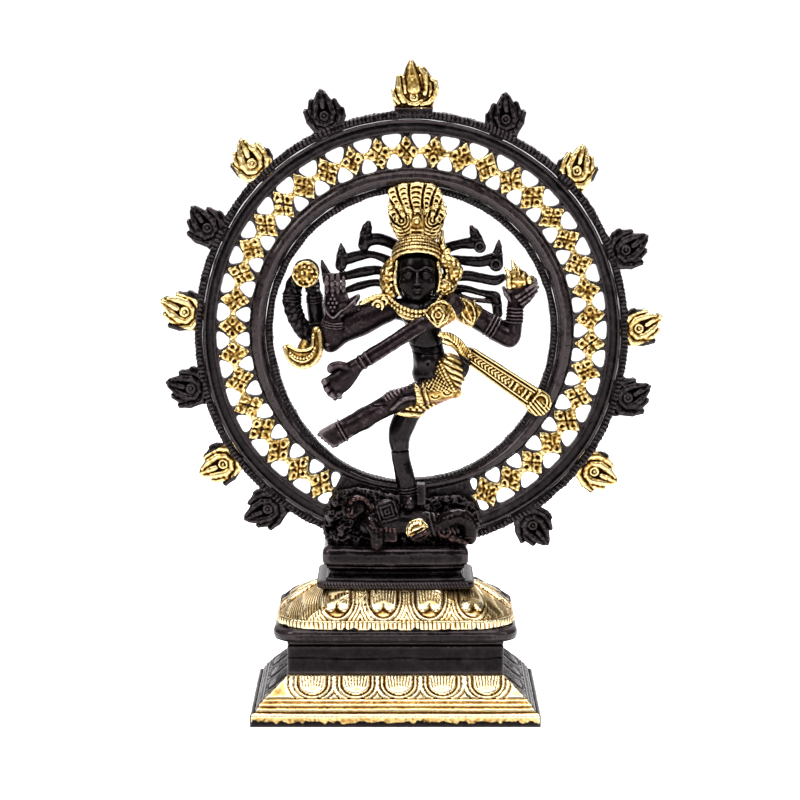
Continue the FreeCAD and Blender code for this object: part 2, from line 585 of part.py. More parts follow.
def figure_blanks():
    """Every sculpted piece at its full form, before it gives way to its neighbours."""
    blanks = {}
    for name, chains in CHAINS.items():
        extra = []
        if name == "torso":
            extra = [egg("chest", (9.8, -5.4, 147), 9.2, 5.4, 5.8)]
        blanks[name] = fuse(name + "_blank", chain_parts(name, chains) + extra)
    for name, (start, end, radius, end_radius) in BANDS.items():
        blanks[name] = cone(name + "_blank", start, end, radius, end_radius)
    neck = chain_parts("neck", [[(9.3, -5, 151, 4.2), (8.2, -5.8, 158, 4.5)]])
    blanks["head"] = fuse("head_blank", [egg("skull", (7.9, -6.3, 163.6), 7.7, 7.3, 9.9)] + neck)
    blanks["diadem"] = cone("diadem_blank", (7.9, -6, 169.6), (7.9, -5.6, 176), 8.3, 7.2)
    blanks["necklace"] = necklace_blank()
    fan = [(1.6, 175.6), (-1.8, 183), (-2.9, 189), (-2.6, 194.4), (7.8, 196.2), (16.2, 194.2),
           (17.6, 188), (18.3, 183), (14.4, 175.6)]
    crown_plate = outline_plate("crown", fan, size("crown_back"), size("crown_thick"))
    blanks["crown_fan"] = fuse("crown_blank", [crown_plate,
                                               egg("crown_bulge", (7.9, -5.4, 181), 9, 3.6, 6)])
    blanks["dhoti"] = egg("dhoti_blank", (17.2, -6.2, 123.4), 8.6, 6.8, 9.2)
    blanks["drum"] = drum_blank()
    bowl = cone("bowl", (44.4, -4, 157.2), (44.2, -4, 160.4), 2.4, 4.7)
    fire = cone("fire", (44.2, -4, 160.2), (42.6, -4, 168.4), 4.3, 0.6)
    blanks["fire_bowl"] = fuse("fire_bowl_blank", [bowl, fire])
    blanks["sash"] = sash_blank()
    blanks["dwarf_head"] = egg("dwarf_head_blank", (-14.3, -10.5, 76), 4.3, 4.2, 4.4)
    blanks["dwarf_ornament"] = cone("ornament_blank", (7.2, -12, 69.2), (7.2, -16.4, 69.2), 4.7, 4.2)
    blanks["rockwork_mound"] = mound_blank()
    return blanks


def necklace_blank():
    ring = doc.addObject("Part::Torus", "necklace_blank")
    ring.setExpression("Radius1", "Sizes.girth * 6.6")
    ring.setExpression("Radius2", "Sizes.girth * 1.6")
    ring.Placement = FreeCAD.Placement(Vector(9.4, -5.6, 153.4), FreeCAD.Rotation(AXIS_X, 26))
    return ring


def drum_blank():
    """An hourglass drum whose skins face the front and the back."""
    centre, half = (-33.6, -4.2, 163.2), 4.4
    front = cone("drum_front", centre, (centre[0], centre[1] - half, centre[2]), 2.8, 4.8)
    rear = cone("drum_rear", centre, (centre[0], centre[1] + half, centre[2]), 2.8, 4.8)
    return fuse("drum_blank", [front, rear])


def sash_blank():
    """The scarf that flies out from the chest to the ring, with the short strand that hangs by it."""
    chest, ring_end = (16.5, -10.4), (56, -5.0)
    outline = [(0, 142), (9, 138.2), (41.6, 119.6), (37.6, 111.4), (7.6, 133.8), (0, 138.8)]
    plate = outline_plate("sash", outline, 0, size("sash_thick"))
    turn = math.degrees(math.atan2(ring_end[1] - chest[1], ring_end[0] - chest[0]))
    plate.Placement = FreeCAD.Placement(Vector(chest[0], chest[1] + 1.0, 0),
                                        FreeCAD.Rotation(AXIS_Z, turn))
    strand = chain_parts("strand", [[(20, -11, 137.5, 1.5), (26.5, -9.6, 132.5, 1.6),
                                     (24.5, -10.2, 127.5, 1.4)]])
    return fuse("sash_blank", [plate] + strand)


def mound_blank():
    """The craggy ground on the cap that the dwarf lies against and the ring passes through."""
    crags = [(-24.5, size("cap_top")), (-26.5, 70), (-23.5, 77), (-19.5, 82.5), (-9, 82), (6, 79.5),
             (20, 81), (28, 79), (30, 71), (25.5, size("cap_top"))]
    return outline_plate("mound", crags, size("mound_back"),
                         size("mound_back") - size("mound_front"))


def figure():
    """Trim each blank by the neighbours that it gives way to, in the order they are listed."""
    blanks = figure_blanks()
    keep("torso", blanks.pop("torso"))
    for name, neighbours in GIVES_WAY.items():
        trimmed = doc.addObject("Part::Cut", name)
        trimmed.Base = blanks.pop(name)
        trimmed.Tool = neighbour_tool(name, neighbours)
        keep(name, trimmed)
    for name, blank in blanks.items():
        keep(name, blank)


def neighbour_tool(name, neighbours):
    if len(neighbours) == 1:
        return nodes[neighbours[0]]
    return fuse(name + "_neighbours", [nodes[neighbour] for neighbour in neighbours])


# ---------------------------------------------------------------- build, check and write

def check():
    doc.recompute()
    failed = [item.Name for item in doc.Objects if "Invalid" in item.State or "Error" in item.State]
    for name, piece in nodes.items():
        if piece.Shape.isNull() or not piece.Shape.isValid():
            failed.append(name + " (shape)")
    if failed:
        raise RuntimeError("failed: " + ", ".join(failed))


def write():
    os.makedirs("parts", exist_ok=True)
    for name, piece in nodes.items():
        piece.Shape.exportStep(f"parts/{name}.step")
        print(f"{name}: {len(piece.Shape.Solids)} solid(s), {piece.Shape.Volume:.0f} mm3")


lotus_plinth()
plinth_die()
cornice_slab()
lotus_cushion()
rope_collar()
pedestal_neck()
pedestal_cap()
fixing()
hoop("inner_rope_edge", "Sizes.opening_radius", "Sizes.inner_hoop_radius", "Sizes.rope_thick",
     "Sizes.rope_round")
hoop("inner_hoop", "Sizes.inner_hoop_radius", "Sizes.lattice_radius", "Sizes.ring_thick")
hoop("outer_hoop", "Sizes.outer_hoop_radius", "Sizes.outer_rope_radius", "Sizes.ring_thick")
hoop("outer_rope_edge", "Sizes.outer_rope_radius", "Sizes.ring_radius", "Sizes.rope_thick",
     "Sizes.rope_round")
lattice()
flames()
figure()
check()
write()
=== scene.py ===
# The visual model of the brass nataraja statue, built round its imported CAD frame.
# Shapes are worked out in millimetres and written to Blender in metres.
import math

import bpy
import numpy as np
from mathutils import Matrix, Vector


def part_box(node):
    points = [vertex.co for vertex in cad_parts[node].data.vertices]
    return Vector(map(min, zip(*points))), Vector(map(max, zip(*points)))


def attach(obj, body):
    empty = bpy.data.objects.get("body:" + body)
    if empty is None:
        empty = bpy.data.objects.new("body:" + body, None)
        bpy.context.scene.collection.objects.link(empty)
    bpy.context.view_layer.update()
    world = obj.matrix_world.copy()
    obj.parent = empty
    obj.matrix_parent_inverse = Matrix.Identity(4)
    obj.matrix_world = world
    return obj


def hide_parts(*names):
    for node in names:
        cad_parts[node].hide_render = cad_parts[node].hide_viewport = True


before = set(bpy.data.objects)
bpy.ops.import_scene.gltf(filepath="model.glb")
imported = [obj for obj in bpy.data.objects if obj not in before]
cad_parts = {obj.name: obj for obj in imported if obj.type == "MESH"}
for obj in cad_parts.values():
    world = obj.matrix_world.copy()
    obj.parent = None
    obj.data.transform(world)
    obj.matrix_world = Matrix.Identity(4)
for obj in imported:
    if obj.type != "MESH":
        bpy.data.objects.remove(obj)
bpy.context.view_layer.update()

MM = 0.001
COARSE = 1.0
rng = np.random.default_rng(7)


def node_box(node):
    """A CAD node's lowest and highest corners, in millimetres."""
    low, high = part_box(node)
    return np.array(low) / MM, np.array(high) / MM


RING_LOW, RING_HIGH = node_box("outer_rope_edge")
RING_X, RING_Z = (RING_LOW[0] + RING_HIGH[0]) / 2, (RING_LOW[2] + RING_HIGH[2]) / 2
RING_RADIUS = (RING_HIGH[0] - RING_LOW[0]) / 2
SOCKETS = {name: (node_box(name)[1][0] - node_box(name)[0][0]) / 2
           for name in ("inner_rope_edge", "inner_hoop", "outer_hoop")}
INNER_HOOP_OUT = SOCKETS["inner_hoop"]
INNER_ROPE_OUT = SOCKETS["inner_rope_edge"]
OUTER_HOOP_OUT = SOCKETS["outer_hoop"]
OPENING_RADIUS = INNER_ROPE_OUT - 2.6
OUTER_HOOP_IN = OUTER_HOOP_OUT - 4.8
LATTICE_MIDDLE = (INNER_HOOP_OUT + OUTER_HOOP_IN) / 2
RING_HALF_THICK = (node_box("outer_hoop")[1][1] - node_box("outer_hoop")[0][1]) / 2


# ---------------------------------------------------------------- meshes

def smooth_step(low, high, value):
    share = np.clip((value - low) / (high - low), 0, 1)
    return share * share * (3 - 2 * share)


def vertex_normals(points, faces):
    corners = points[faces]
    if faces.shape[1] == 4:
        face_normal = np.cross(corners[:, 2] - corners[:, 0], corners[:, 3] - corners[:, 1])
    else:
        face_normal = np.cross(corners[:, 1] - corners[:, 0], corners[:, 2] - corners[:, 0])
    normal = np.zeros_like(points)
    for axis in range(3):
        weight = np.repeat(face_normal[:, axis], faces.shape[1])
        normal[:, axis] = np.bincount(faces.ravel(), weight, len(points))
    return normal / np.maximum(np.linalg.norm(normal, axis=1), 1e-9)[:, None]


def neighbour_mean(values, faces):
    """The mean of each vertex's neighbours round its faces."""
    total = np.zeros_like(values)
    count = np.bincount(faces.ravel(), minlength=len(values)) * 2.0
    width = faces.shape[1]
    for step in (1, width - 1):
        other = np.roll(faces, step, axis=1).ravel()
        for axis in range(values.shape[1]):
            total[:, axis] += np.bincount(faces.ravel(), values[other, axis], len(values))
    return total / np.maximum(count, 1)[:, None]


def height_over_surroundings(points, faces, rounds):
    """How far each vertex stands over its smoothed surroundings: above 0 on ridges."""
    flat = points
    for _ in range(rounds):
        flat = neighbour_mean(flat, faces)
    return np.einsum("ij,ij->i", points - flat, vertex_normals(points, faces))


class Skin:
    """A surface in millimetres: points, faces, and the share of gilt at each point."""

    def __init__(self, points, faces, gilt=0.0):
        self.points, self.faces = np.asarray(points, float), np.asarray(faces)
        self.gilt = np.full(len(self.points), float(gilt))

    def normals(self):
        return vertex_normals(self.points, self.faces)

    def relief(self, height):
        """Push the surface out by height(points, normals), in millimetres."""
        normals = self.normals()
        self.points = self.points + normals * height(self.points, normals)[:, None]
        return self

    def roughen(self, fine, broad, seed):
        """Give the surface the unevenness of a casting, and nothing else."""
        return self.relief(lambda points, normals: cast(points, fine, broad, seed))

    def smooth(self, rounds, share):
        for _ in range(rounds):
            self.points += share * (neighbour_mean(self.points, self.faces) - self.points)
        return self

    def gild(self, share):
        self.gilt = np.clip(share(self.points, self.normals()), 0, 1)
        return self

    def move(self, matrix, offset):
        self.points = self.points @ np.asarray(matrix).T + np.asarray(offset)
        return self


def join(skins):
    points, faces, gilt, start = [], [], [], 0
    for skin in skins:
        points.append(skin.points)
        faces.append(skin.faces + start)
        gilt.append(skin.gilt)
        start += len(skin.points)
    joined = Skin(np.concatenate(points), np.concatenate(faces))
    joined.gilt = np.concatenate(gilt)
    return joined


FINE_WEAR_AND_PAINTED_LIGHT, FINE_ROUNDS = 5.0, 3         # how strongly small and large relief shows as wear, painted shade and painted highlight, and how many rounds of smoothing tell it from its surroundings
BROAD_WEAR_AND_PAINTED_LIGHT, BROAD_ROUNDS = 1.1, 14      # how many rounds of smoothing tell it from its surroundings


def piece(name, skin, material, replaces):
    """Write a skin to Blender, with its gilt and its wear stored at its points. The wear value is low in
    recesses, which the colour ramps turn into patina and painted shade, and high on ridges, which they turn
    into rubbed metal and a painted highlight.
    """
    mesh = bpy.data.meshes.new(name)
    count, width = skin.faces.shape
    mesh.vertices.add(len(skin.points))
    mesh.vertices.foreach_set("co", (skin.points * MM).astype(np.float32).ravel())
    mesh.loops.add(count * width)
    mesh.loops.foreach_set("vertex_index", skin.faces.astype(np.int32).ravel())
    mesh.polygons.add(count)
    mesh.polygons.foreach_set("loop_start", np.arange(0, count * width, width, dtype=np.int32))
    mesh.update(calc_edges=True)
    mesh.polygons.foreach_set("use_smooth", np.ones(count, bool))
    fine = height_over_surroundings(skin.points, skin.faces, FINE_ROUNDS)
    broad = height_over_surroundings(skin.points, skin.faces, BROAD_ROUNDS)
    # Low in recesses and high on ridges: painted shade and painted highlight as well as real patina and wear.
    wear_and_painted_light = np.clip(0.5 + fine * FINE_WEAR_AND_PAINTED_LIGHT + broad * BROAD_WEAR_AND_PAINTED_LIGHT, 0, 1)
    for attribute, values in (("wear_and_painted_light", wear_and_painted_light), ("gilt", skin.gilt)):
        layer = mesh.attributes.new(attribute, "FLOAT", "POINT")
        layer.data.foreach_set("value", values.astype(np.float32))
    mesh.materials.append(material)
    thing = bpy.data.objects.new(name, mesh)
    bpy.context.scene.collection.objects.link(thing)
    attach(thing, "root")
    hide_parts(*replaces)
    return thing


def loop_skin(rings):
    """A surface closed both ways from an array of rings: (rings, points in a ring, 3)."""
    count, width = rings.shape[:2]
    ring = np.arange(count)[:, None]
    spot = np.arange(width)[None, :]
    after, beside = (ring + 1) % count, (spot + 1) % width
    faces = np.stack([ring * width + spot, ring * width + beside,
                      after * width + beside, after * width + spot], -1).reshape(-1, 4)
    points = rings.reshape(-1, 3)
    one, two, three = (points[faces[:, k]] for k in (0, 1, 2))
    volume = np.einsum("ij,ij->i", one, np.cross(two, three)).sum()
    return Skin(points, faces if volume > 0 else faces[:, ::-1])


# ---------------------------------------------------------------- clay: solids from distance fields

class Clay:
    """A solid made of shapes that are added and cut in turn, in millimetres.

    A shape is its lowest corner, its highest corner and its distance, below 0 inside."""
    FAR = 6.0

    def __init__(self, cell=0.32):
        self.cell, self.steps = cell * COARSE, []

    def add(self, shape, blend=0.4):
        self.steps.append((1, shape, blend))
        return self

    def cut(self, shape, blend):
        self.steps.append((-1, shape, blend))
        return self

    def window(self, low, high, margin):
        spans = []
        for axis in range(3):
            first = int(np.floor((low[axis] - margin - self.low[axis]) / self.cell))
            last = int(np.ceil((high[axis] + margin - self.low[axis]) / self.cell)) + 1
            spans.append(slice(max(first, 0), max(min(last, len(self.axes[axis])), 0)))
        x, y, z = (self.axes[a][spans[a]].astype(np.float32) for a in range(3))
        return tuple(spans), (x[:, None, None], y[None, :, None], z[None, None, :])

    def skin(self, gilt=0.0):
        margin = 2 * self.cell + 0.3
        self.low = np.min([shape[0] for way, shape, _ in self.steps if way > 0], axis=0) - margin
        high = np.max([shape[1] for way, shape, _ in self.steps if way > 0], axis=0) + margin
        counts = np.ceil((high - self.low) / self.cell).astype(int) + 1
        self.axes = [self.low[a] + np.arange(counts[a]) * self.cell for a in range(3)]
        field = np.full(counts, self.FAR, np.float32)
        for way, shape, blend in self.steps:
            spans, grid = self.window(shape[0], shape[1], blend + 1.6)
            old = field[spans]
            if old.size:
                field[spans] = way * merge(way * old, shape[2](*grid), blend)
        for axis in range(3):
            edge = [slice(None)] * 3
            for end in (0, -1):
                edge[axis] = end
                field[tuple(edge)] = np.maximum(field[tuple(edge)], 0.5 * self.cell)
        points, faces = surface_net(field)
        return Skin(points * self.cell + self.low, faces, gilt)


def merge(one, two, blend):
    """The union of two distances with a fillet of about that size."""
    if blend <= 0:
        return np.minimum(one, two)
    overlap = np.maximum(blend - np.abs(one - two), 0) / blend
    return np.minimum(one, two) - overlap * overlap * blend * 0.25


def surface_net(field):
    """Points and quads of the zero surface, one point for each cell that it crosses."""
    inside = field < 0
    corner = {}
    filled = np.zeros(tuple(n - 1 for n in field.shape), np.int8)
    for i in (0, 1):
        for j in (0, 1):
            for k in (0, 1):
                corner[i, j, k] = (slice(i, field.shape[0] - 1 + i), slice(j, field.shape[1] - 1 + j),
                                   slice(k, field.shape[2] - 1 + k))
                filled += inside[corner[i, j, k]]
    crossed = (filled > 0) & (filled < 8)
    number = np.full(filled.shape, -1, np.int64)
    cells = np.argwhere(crossed)
    number[crossed] = np.arange(len(cells))
    total = np.zeros((len(cells), 3))
    count = np.zeros(len(cells))
    values = {key: field[spans][crossed] for key, spans in corner.items()}
    for start in values:
        for axis in range(3):
            if start[axis]:
                continue
            end = tuple(1 if a == axis else start[a] for a in range(3))
            one, two = values[start], values[end]
            crossing = (one < 0) != (two < 0)
            share = np.where(crossing, one / np.where(crossing, one - two, 1), 0)
            place = np.tile(np.array(start, float), (len(cells), 1))
            place[:, axis] = share
            total += place * crossing[:, None]
            count += crossing
    points = cells + total / count[:, None]
    faces = []
    for axis in range(3):
        b, c = (axis + 1) % 3, (axis + 2) % 3
        low = [slice(None)] * 3
        high = [slice(None)] * 3
        low[axis], high[axis] = slice(0, -1), slice(1, None)
        change = inside[tuple(low)].astype(np.int8) - inside[tuple(high)].astype(np.int8)
        edges = np.argwhere(change)
        edges = edges[(edges[:, b] > 0) & (edges[:, c] > 0)
                      & (edges[:, b] < filled.shape[b]) & (edges[:, c] < filled.shape[c])]
        sign = change[tuple(edges.T)]
        ring = []
        for step_b, step_c in ((1, 1), (0, 1), (0, 0), (1, 0)):
            cell = edges.copy()
            cell[:, b] -= step_b
            cell[:, c] -= step_c
            ring.append(number[tuple(cell.T)])
        quad = np.stack(ring, -1)
        quad[sign < 0] = quad[sign < 0][:, ::-1]
        faces.append(quad)
    return points, np.concatenate(faces)


def bone(start, end, thick, thin, flat=1.0):
    """A tapered limb with round ends. Flat squeezes its depth, along Y."""
    a, b = np.asarray(start, float), np.asarray(end, float)
    reach = max(thick, thin)
    along = (b - a) * (1, 1 / flat, 1)
    length = float(along @ along) or 1e-9

    def distance(x, y, z):
        px, py, pz = x - a[0], (y - a[1]) / flat, z - a[2]
        share = np.clip((px * along[0] + py * along[1] + pz * along[2]) / length, 0, 1)
        px, py, pz = px - share * along[0], py - share * along[1], pz - share * along[2]
        return np.sqrt(px * px + py * py + pz * pz) - (thick + share * (thin - thick))
    return np.minimum(a, b) - reach, np.maximum(a, b) + reach, distance


def egg(centre, half, turn=None):
    """An ellipsoid. Turn is a 3x3 matrix whose rows are its own axes."""
    c, r = np.asarray(centre, float), np.asarray(half, float)
    axes = np.eye(3) if turn is None else np.asarray(turn)

    def distance(x, y, z):
        p = [x - c[0], y - c[1], z - c[2]]
        local = [axes[i][0] * p[0] + axes[i][1] * p[1] + axes[i][2] * p[2] for i in range(3)]
        near = np.sqrt(sum((local[i] / r[i]) ** 2 for i in range(3)))
        far = np.sqrt(sum((local[i] / r[i] ** 2) ** 2 for i in range(3)))
        return near * (near - 1) / np.maximum(far, 1e-6)
    reach = r.max() if turn is not None else r
    return c - reach, c + reach, distance


def slab(centre, half, turn=None, rounding=0.3):
    """A box with rounded edges. Turn is a 3x3 matrix whose rows are its own axes."""
    c, r = np.asarray(centre, float), np.asarray(half, float) - rounding
    axes = np.eye(3) if turn is None else np.asarray(turn)

    def distance(x, y, z):
        p = [x - c[0], y - c[1], z - c[2]]
        q = [np.abs(axes[i][0] * p[0] + axes[i][1] * p[1] + axes[i][2] * p[2]) - r[i] for i in range(3)]
        outside = np.sqrt(sum(np.maximum(v, 0) ** 2 for v in q))
        return outside + np.minimum(np.maximum(np.maximum(q[0], q[1]), q[2]), 0) - rounding
    reach = np.linalg.norm(r + rounding) if turn is not None else r + rounding
    return c - reach, c + reach, distance


def hoop(centre, axis, radius, tube):
    """A torus round an axis."""
    c, n = np.asarray(centre, float), unit(axis)

    def distance(x, y, z):
        px, py, pz = x - c[0], y - c[1], z - c[2]
        level = px * n[0] + py * n[1] + pz * n[2]
        out = np.sqrt(np.maximum(px * px + py * py + pz * pz - level * level, 0))
        return np.sqrt((out - radius) ** 2 + level * level) - tube
    return c - radius - tube, c + radius + tube, distance


def unit(vector):
    vector = np.asarray(vector, float)
    return vector / np.linalg.norm(vector)


def frame_along(way):
    """Rows of a turned frame: along a way, across it, and towards the front."""
    u = unit(way)
    front = np.array([0.0, -1.0, 0.0])
    f = front - np.dot(front, u) * u
    f = unit(f)
    return np.array([u, np.cross(f, u), f])


def limb(clay, joints, blend, flat=1.0):
    """Add a chain of bones: joints are (x, y, z, radius)."""
    for (*a, thick), (*b, thin) in zip(joints, joints[1:]):
        clay.add(bone(a, b, thick, thin, flat), blend)
    return clay


def plate(outline, back, front, rounding):
    """A flat plate that faces the front, from an outline of (x, z) points."""
    corners = np.asarray(outline, float)
    after = np.roll(corners, -1, axis=0)

    def flat_distance(x, z):
        nearest, crossings = None, None
        for (ax, az), (bx, bz) in zip(corners, after):
            ex, ez = bx - ax, bz - az
            wx, wz = x - ax, z - az
            share = np.clip((wx * ex + wz * ez) / (ex * ex + ez * ez), 0, 1)
            gap = (wx - share * ex) ** 2 + (wz - share * ez) ** 2
            nearest = gap if nearest is None else np.minimum(nearest, gap)
            above, below = (z >= az) & (z < bz), (z < az) & (z >= bz)
            left = ex * wz - ez * wx
            turn = (above & (left > 0)) | (below & (left < 0))
            crossings = turn if crossings is None else crossings ^ turn
        return np.where(crossings, -1.0, 1.0) * np.sqrt(nearest)

    middle, half = (back + front) / 2, abs(back - front) / 2 - rounding

    def distance(x, y, z):
        side = flat_distance(x, z) + rounding
        depth = np.abs(y - middle) - half
        return (np.sqrt(np.maximum(side, 0) ** 2 + np.maximum(depth, 0) ** 2)
                + np.minimum(np.maximum(side, depth), 0) - rounding)
    low = np.array([corners[:, 0].min(), min(back, front), corners[:, 1].min()])
    high = np.array([corners[:, 0].max(), max(back, front), corners[:, 1].max()])
    return low, high, distance


# ---------------------------------------------------------------- seeded roughness for cast surfaces

def grain(points, size, seed):
    """Smooth noise from -1 to 1 whose lumps are about that size. It is the same on each run."""
    place = np.asarray(points) / size + 31.7 * seed
    cell = np.floor(place).astype(np.int64)
    part = place - cell
    part = part * part * (3 - 2 * part)
    total = np.zeros(len(place))
    for corner in np.ndindex(2, 2, 2):
        spot = cell + corner
        mixed = (spot[:, 0] * 73856093) ^ (spot[:, 1] * 19349663) ^ (spot[:, 2] * 83492791)
        mixed = (mixed ^ (mixed >> 13)) * 1274126177
        value = ((mixed >> 5) & 0xFFFF) / 32767.5 - 1
        total += value * np.prod(np.where(corner, part, 1 - part), axis=1)
    return total


def cast(points, fine, broad, seed):
    """The unevenness of a hand-finished casting, in millimetres."""
    return fine * grain(points, 0.9, seed) + broad * grain(points, 4.0, seed + 1)


def pulse(value, width):
    """1 at zero, falling smoothly to nothing about one width away."""
    return np.exp(-(value / width) ** 2)


# ---------------------------------------------------------------- materials

def colour_ramp(nodes, stops):
    ramp = nodes.new("ShaderNodeValToRGB")
    while len(ramp.color_ramp.elements) < len(stops):
        ramp.color_ramp.elements.new(0.5)
    for element, (place, colour) in zip(ramp.color_ramp.elements, stops):
        element.position = place
        element.color = (*colour, 1)
    return ramp


def noise(nodes, links, where, scale, detail=4.0):
    texture = nodes.new("ShaderNodeTexNoise")
    texture.inputs["Scale"].default_value = scale
    texture.inputs["Detail"].default_value = detail
    links.new(where.outputs["Object"], texture.inputs["Vector"])
    return texture.outputs["Fac"]


def arithmetic(nodes, links, kind, one, two, three=None):
    node = nodes.new("ShaderNodeMath")
    node.operation = kind
    for socket, value in zip(node.inputs, (one, two, three)):
        if value is None:
            continue
        if isinstance(value, (int, float)):
            socket.default_value = value
        else:
            links.new(value, socket)
    return node.outputs[0]


def blend_colours(nodes, links, share, one, two):
    mix = nodes.new("ShaderNodeMix")
    mix.data_type = "RGBA"
    links.new(share, mix.inputs["Factor"])
    links.new(one, mix.inputs["A"])
    links.new(two, mix.inputs["B"])
    return mix.outputs["Result"]


# Colour ramps from recess to ridge. In all but STEEL the dark low end is partly patina in the hollows and
# partly painted shade, and the bright high end is partly rubbed metal and partly a painted highlight.
GOLD = [(0.0, (0.022, 0.007, 0.002)), (0.26, (0.16, 0.07, 0.018)), (0.46, (0.52, 0.30, 0.085)),
        (0.66, (0.86, 0.63, 0.27)), (0.9, (1.0, 0.90, 0.60))]
AGED_GOLD = [(0.0, (0.008, 0.003, 0.001)), (0.3, (0.06, 0.024, 0.005)), (0.5, (0.21, 0.108, 0.023)),
             (0.7, (0.49, 0.31, 0.083)), (0.95, (0.90, 0.71, 0.35))]
PATINA = [(0.0, (0.001, 0.0008, 0.001)), (0.55, (0.0032, 0.0023, 0.0028)), (0.76, (0.0052, 0.0036, 0.0042)),
          (0.9, (0.013, 0.009, 0.010)), (1.0, (0.055, 0.041, 0.044))]
# UMBER is a lighter, browner copy of PATINA: partly a rubbed copper tone, partly the pinkish-brown reflection
# of the front limbs painted in.
UMBER = [(0.0, (0.0015, 0.0008, 0.001)), (0.44, (0.0065, 0.0037, 0.0046)), (0.66, (0.019, 0.0112, 0.0130)),
         (0.84, (0.058, 0.037, 0.042)), (1.0, (0.20, 0.155, 0.162))]
# RUSSET's reddish high end is partly rubbed-through reddish metal and partly a painted highlight.
RUSSET = [(0.0, (0.001, 0.0007, 0.0007)), (0.58, (0.0034, 0.0022, 0.0023)), (0.8, (0.009, 0.005, 0.005)),
          (0.92, (0.026, 0.0085, 0.0080)), (1.0, (0.12, 0.055, 0.050))]
STEEL = [(0.0, (0.10, 0.09, 0.08)), (0.45, (0.34, 0.33, 0.31)), (0.7, (0.52, 0.51, 0.49)),
         (1.0, (0.75, 0.74, 0.72))]


def finish(name, bare, rough_low, rough_high, warm=0.0, polished=GOLD):
    """Cast brass with a dark patina, and bright gold where the gilt attribute says so.

    Bare is the ramp of colours from recess to rubbed edge where the piece isn't gilt. Along every ramp the
    dark recess end is partly patina in the hollows and partly painted shade, and the bright ridge end is
    partly rubbed metal and partly a painted highlight."""
    material = bpy.data.materials.new(name)
    material.use_nodes = True
    nodes, links = material.node_tree.nodes, material.node_tree.links
    shader = nodes["Principled BSDF"]
    shader.inputs["Specular Tint"].default_value = (1.0, 0.86, 0.88, 1)
    where = nodes.new("ShaderNodeTexCoord")
    wear_and_painted_light = nodes.new("ShaderNodeAttribute")
    wear_and_painted_light.attribute_name = "wear_and_painted_light"
    gilt = nodes.new("ShaderNodeAttribute")
    gilt.attribute_name = "gilt"
    fine = noise(nodes, links, where, 900)
    broad = noise(nodes, links, where, 55, 3.0)
    speckle = arithmetic(nodes, links, "MULTIPLY_ADD", fine, 0.34, -0.17)
    worn = arithmetic(nodes, links, "ADD", wear_and_painted_light.outputs["Fac"], speckle)
    cloud = arithmetic(nodes, links, "MULTIPLY_ADD", broad, 0.3, -0.15)
    worn = arithmetic(nodes, links, "ADD", worn, cloud)
    # Both ramps run from dark recesses to bright ridges: partly patina and rubbed metal, partly painted shade
    # and a painted highlight.
    gold = colour_ramp(nodes, polished)
    dark = colour_ramp(nodes, bare)
    links.new(worn, gold.inputs["Fac"])
    links.new(worn, dark.inputs["Fac"])
    edge = arithmetic(nodes, links, "MULTIPLY_ADD", fine, 0.5, -0.25)
    share = arithmetic(nodes, links, "ADD", gilt.outputs["Fac"], edge)
    sharp = nodes.new("ShaderNodeMapRange")
    sharp.inputs["From Min"].default_value = 0.4
    sharp.inputs["From Max"].default_value = 0.6
    links.new(share, sharp.inputs["Value"])
    share = sharp.outputs["Result"]
    colour = blend_colours(nodes, links, share, dark.outputs["Color"], gold.outputs["Color"])
    links.new(colour, shader.inputs["Base Color"])
    metal = arithmetic(nodes, links, "MULTIPLY_ADD", share, 1.0 - warm, warm)
    links.new(metal, shader.inputs["Metallic"])
    gloss = arithmetic(nodes, links, "MULTIPLY_ADD", worn, 0.36, -0.05)
    links.new(gloss, shader.inputs["Specular IOR Level"])
    rough = nodes.new("ShaderNodeMapRange")
    rough.inputs["To Min"].default_value = rough_high
    rough.inputs["To Max"].default_value = rough_low
    links.new(worn, rough.inputs["Value"])
    links.new(rough.outputs["Result"], shader.inputs["Roughness"])
    bump = nodes.new("ShaderNodeBump")
    bump.inputs["Strength"].default_value = 0.35
    bump.inputs["Distance"].default_value = 0.00012
    links.new(fine, bump.inputs["Height"])
    links.new(bump.outputs["Normal"], shader.inputs["Normal"])
    return material


def studio_floor():
    material = bpy.data.materials.new("studio_floor")
    material.use_nodes = True
    shader = material.node_tree.nodes["Principled BSDF"]
    shader.inputs["Base Color"].default_value = (0.95, 0.95, 0.95, 1)
    shader.inputs["Roughness"].default_value = 0.9
    shader.inputs["Specular IOR Level"].default_value = 0.1
    shader.inputs["Emission Color"].default_value = (1, 1, 1, 1)
    shader.inputs["Emission Strength"].default_value = 0.8
    return material


BRASS = finish("aged_brass", PATINA, 0.27, 0.52, 0.1, AGED_GOLD)
BRIGHT = finish("bright_brass", PATINA, 0.25, 0.5, 0.1)
DARK = finish("dark_patina", PATINA, 0.13, 0.34, 0.1)
# A lighter, browner copy of the dark patina for the front limbs: partly a rubbed copper tone, partly a
# painted pinkish-brown reflection.
BROWN = finish("brown_patina_and_painted_reflection", UMBER, 0.18, 0.4, 0.3)
# Near-black like the dark patina, with reddish ridges: partly rubbed-through metal, partly a painted
# highlight.
RED = finish("red_patina", RUSSET, 0.12, 0.34, 0.3)
RED_BRASS = finish("red_brass", RUSSET, 0.16, 0.4, 0.3)
PLATED = finish("plated_steel", STEEL, 0.25, 0.45, 0.95)


def brass_piece(name, skin, material=BRASS):
    return piece(name + "_cast", skin, material, (name,))


def dark_piece(name, skin, material=DARK):
    return piece(name + "_cast", skin, material, (name,))


# ---------------------------------------------------------------- pedestal

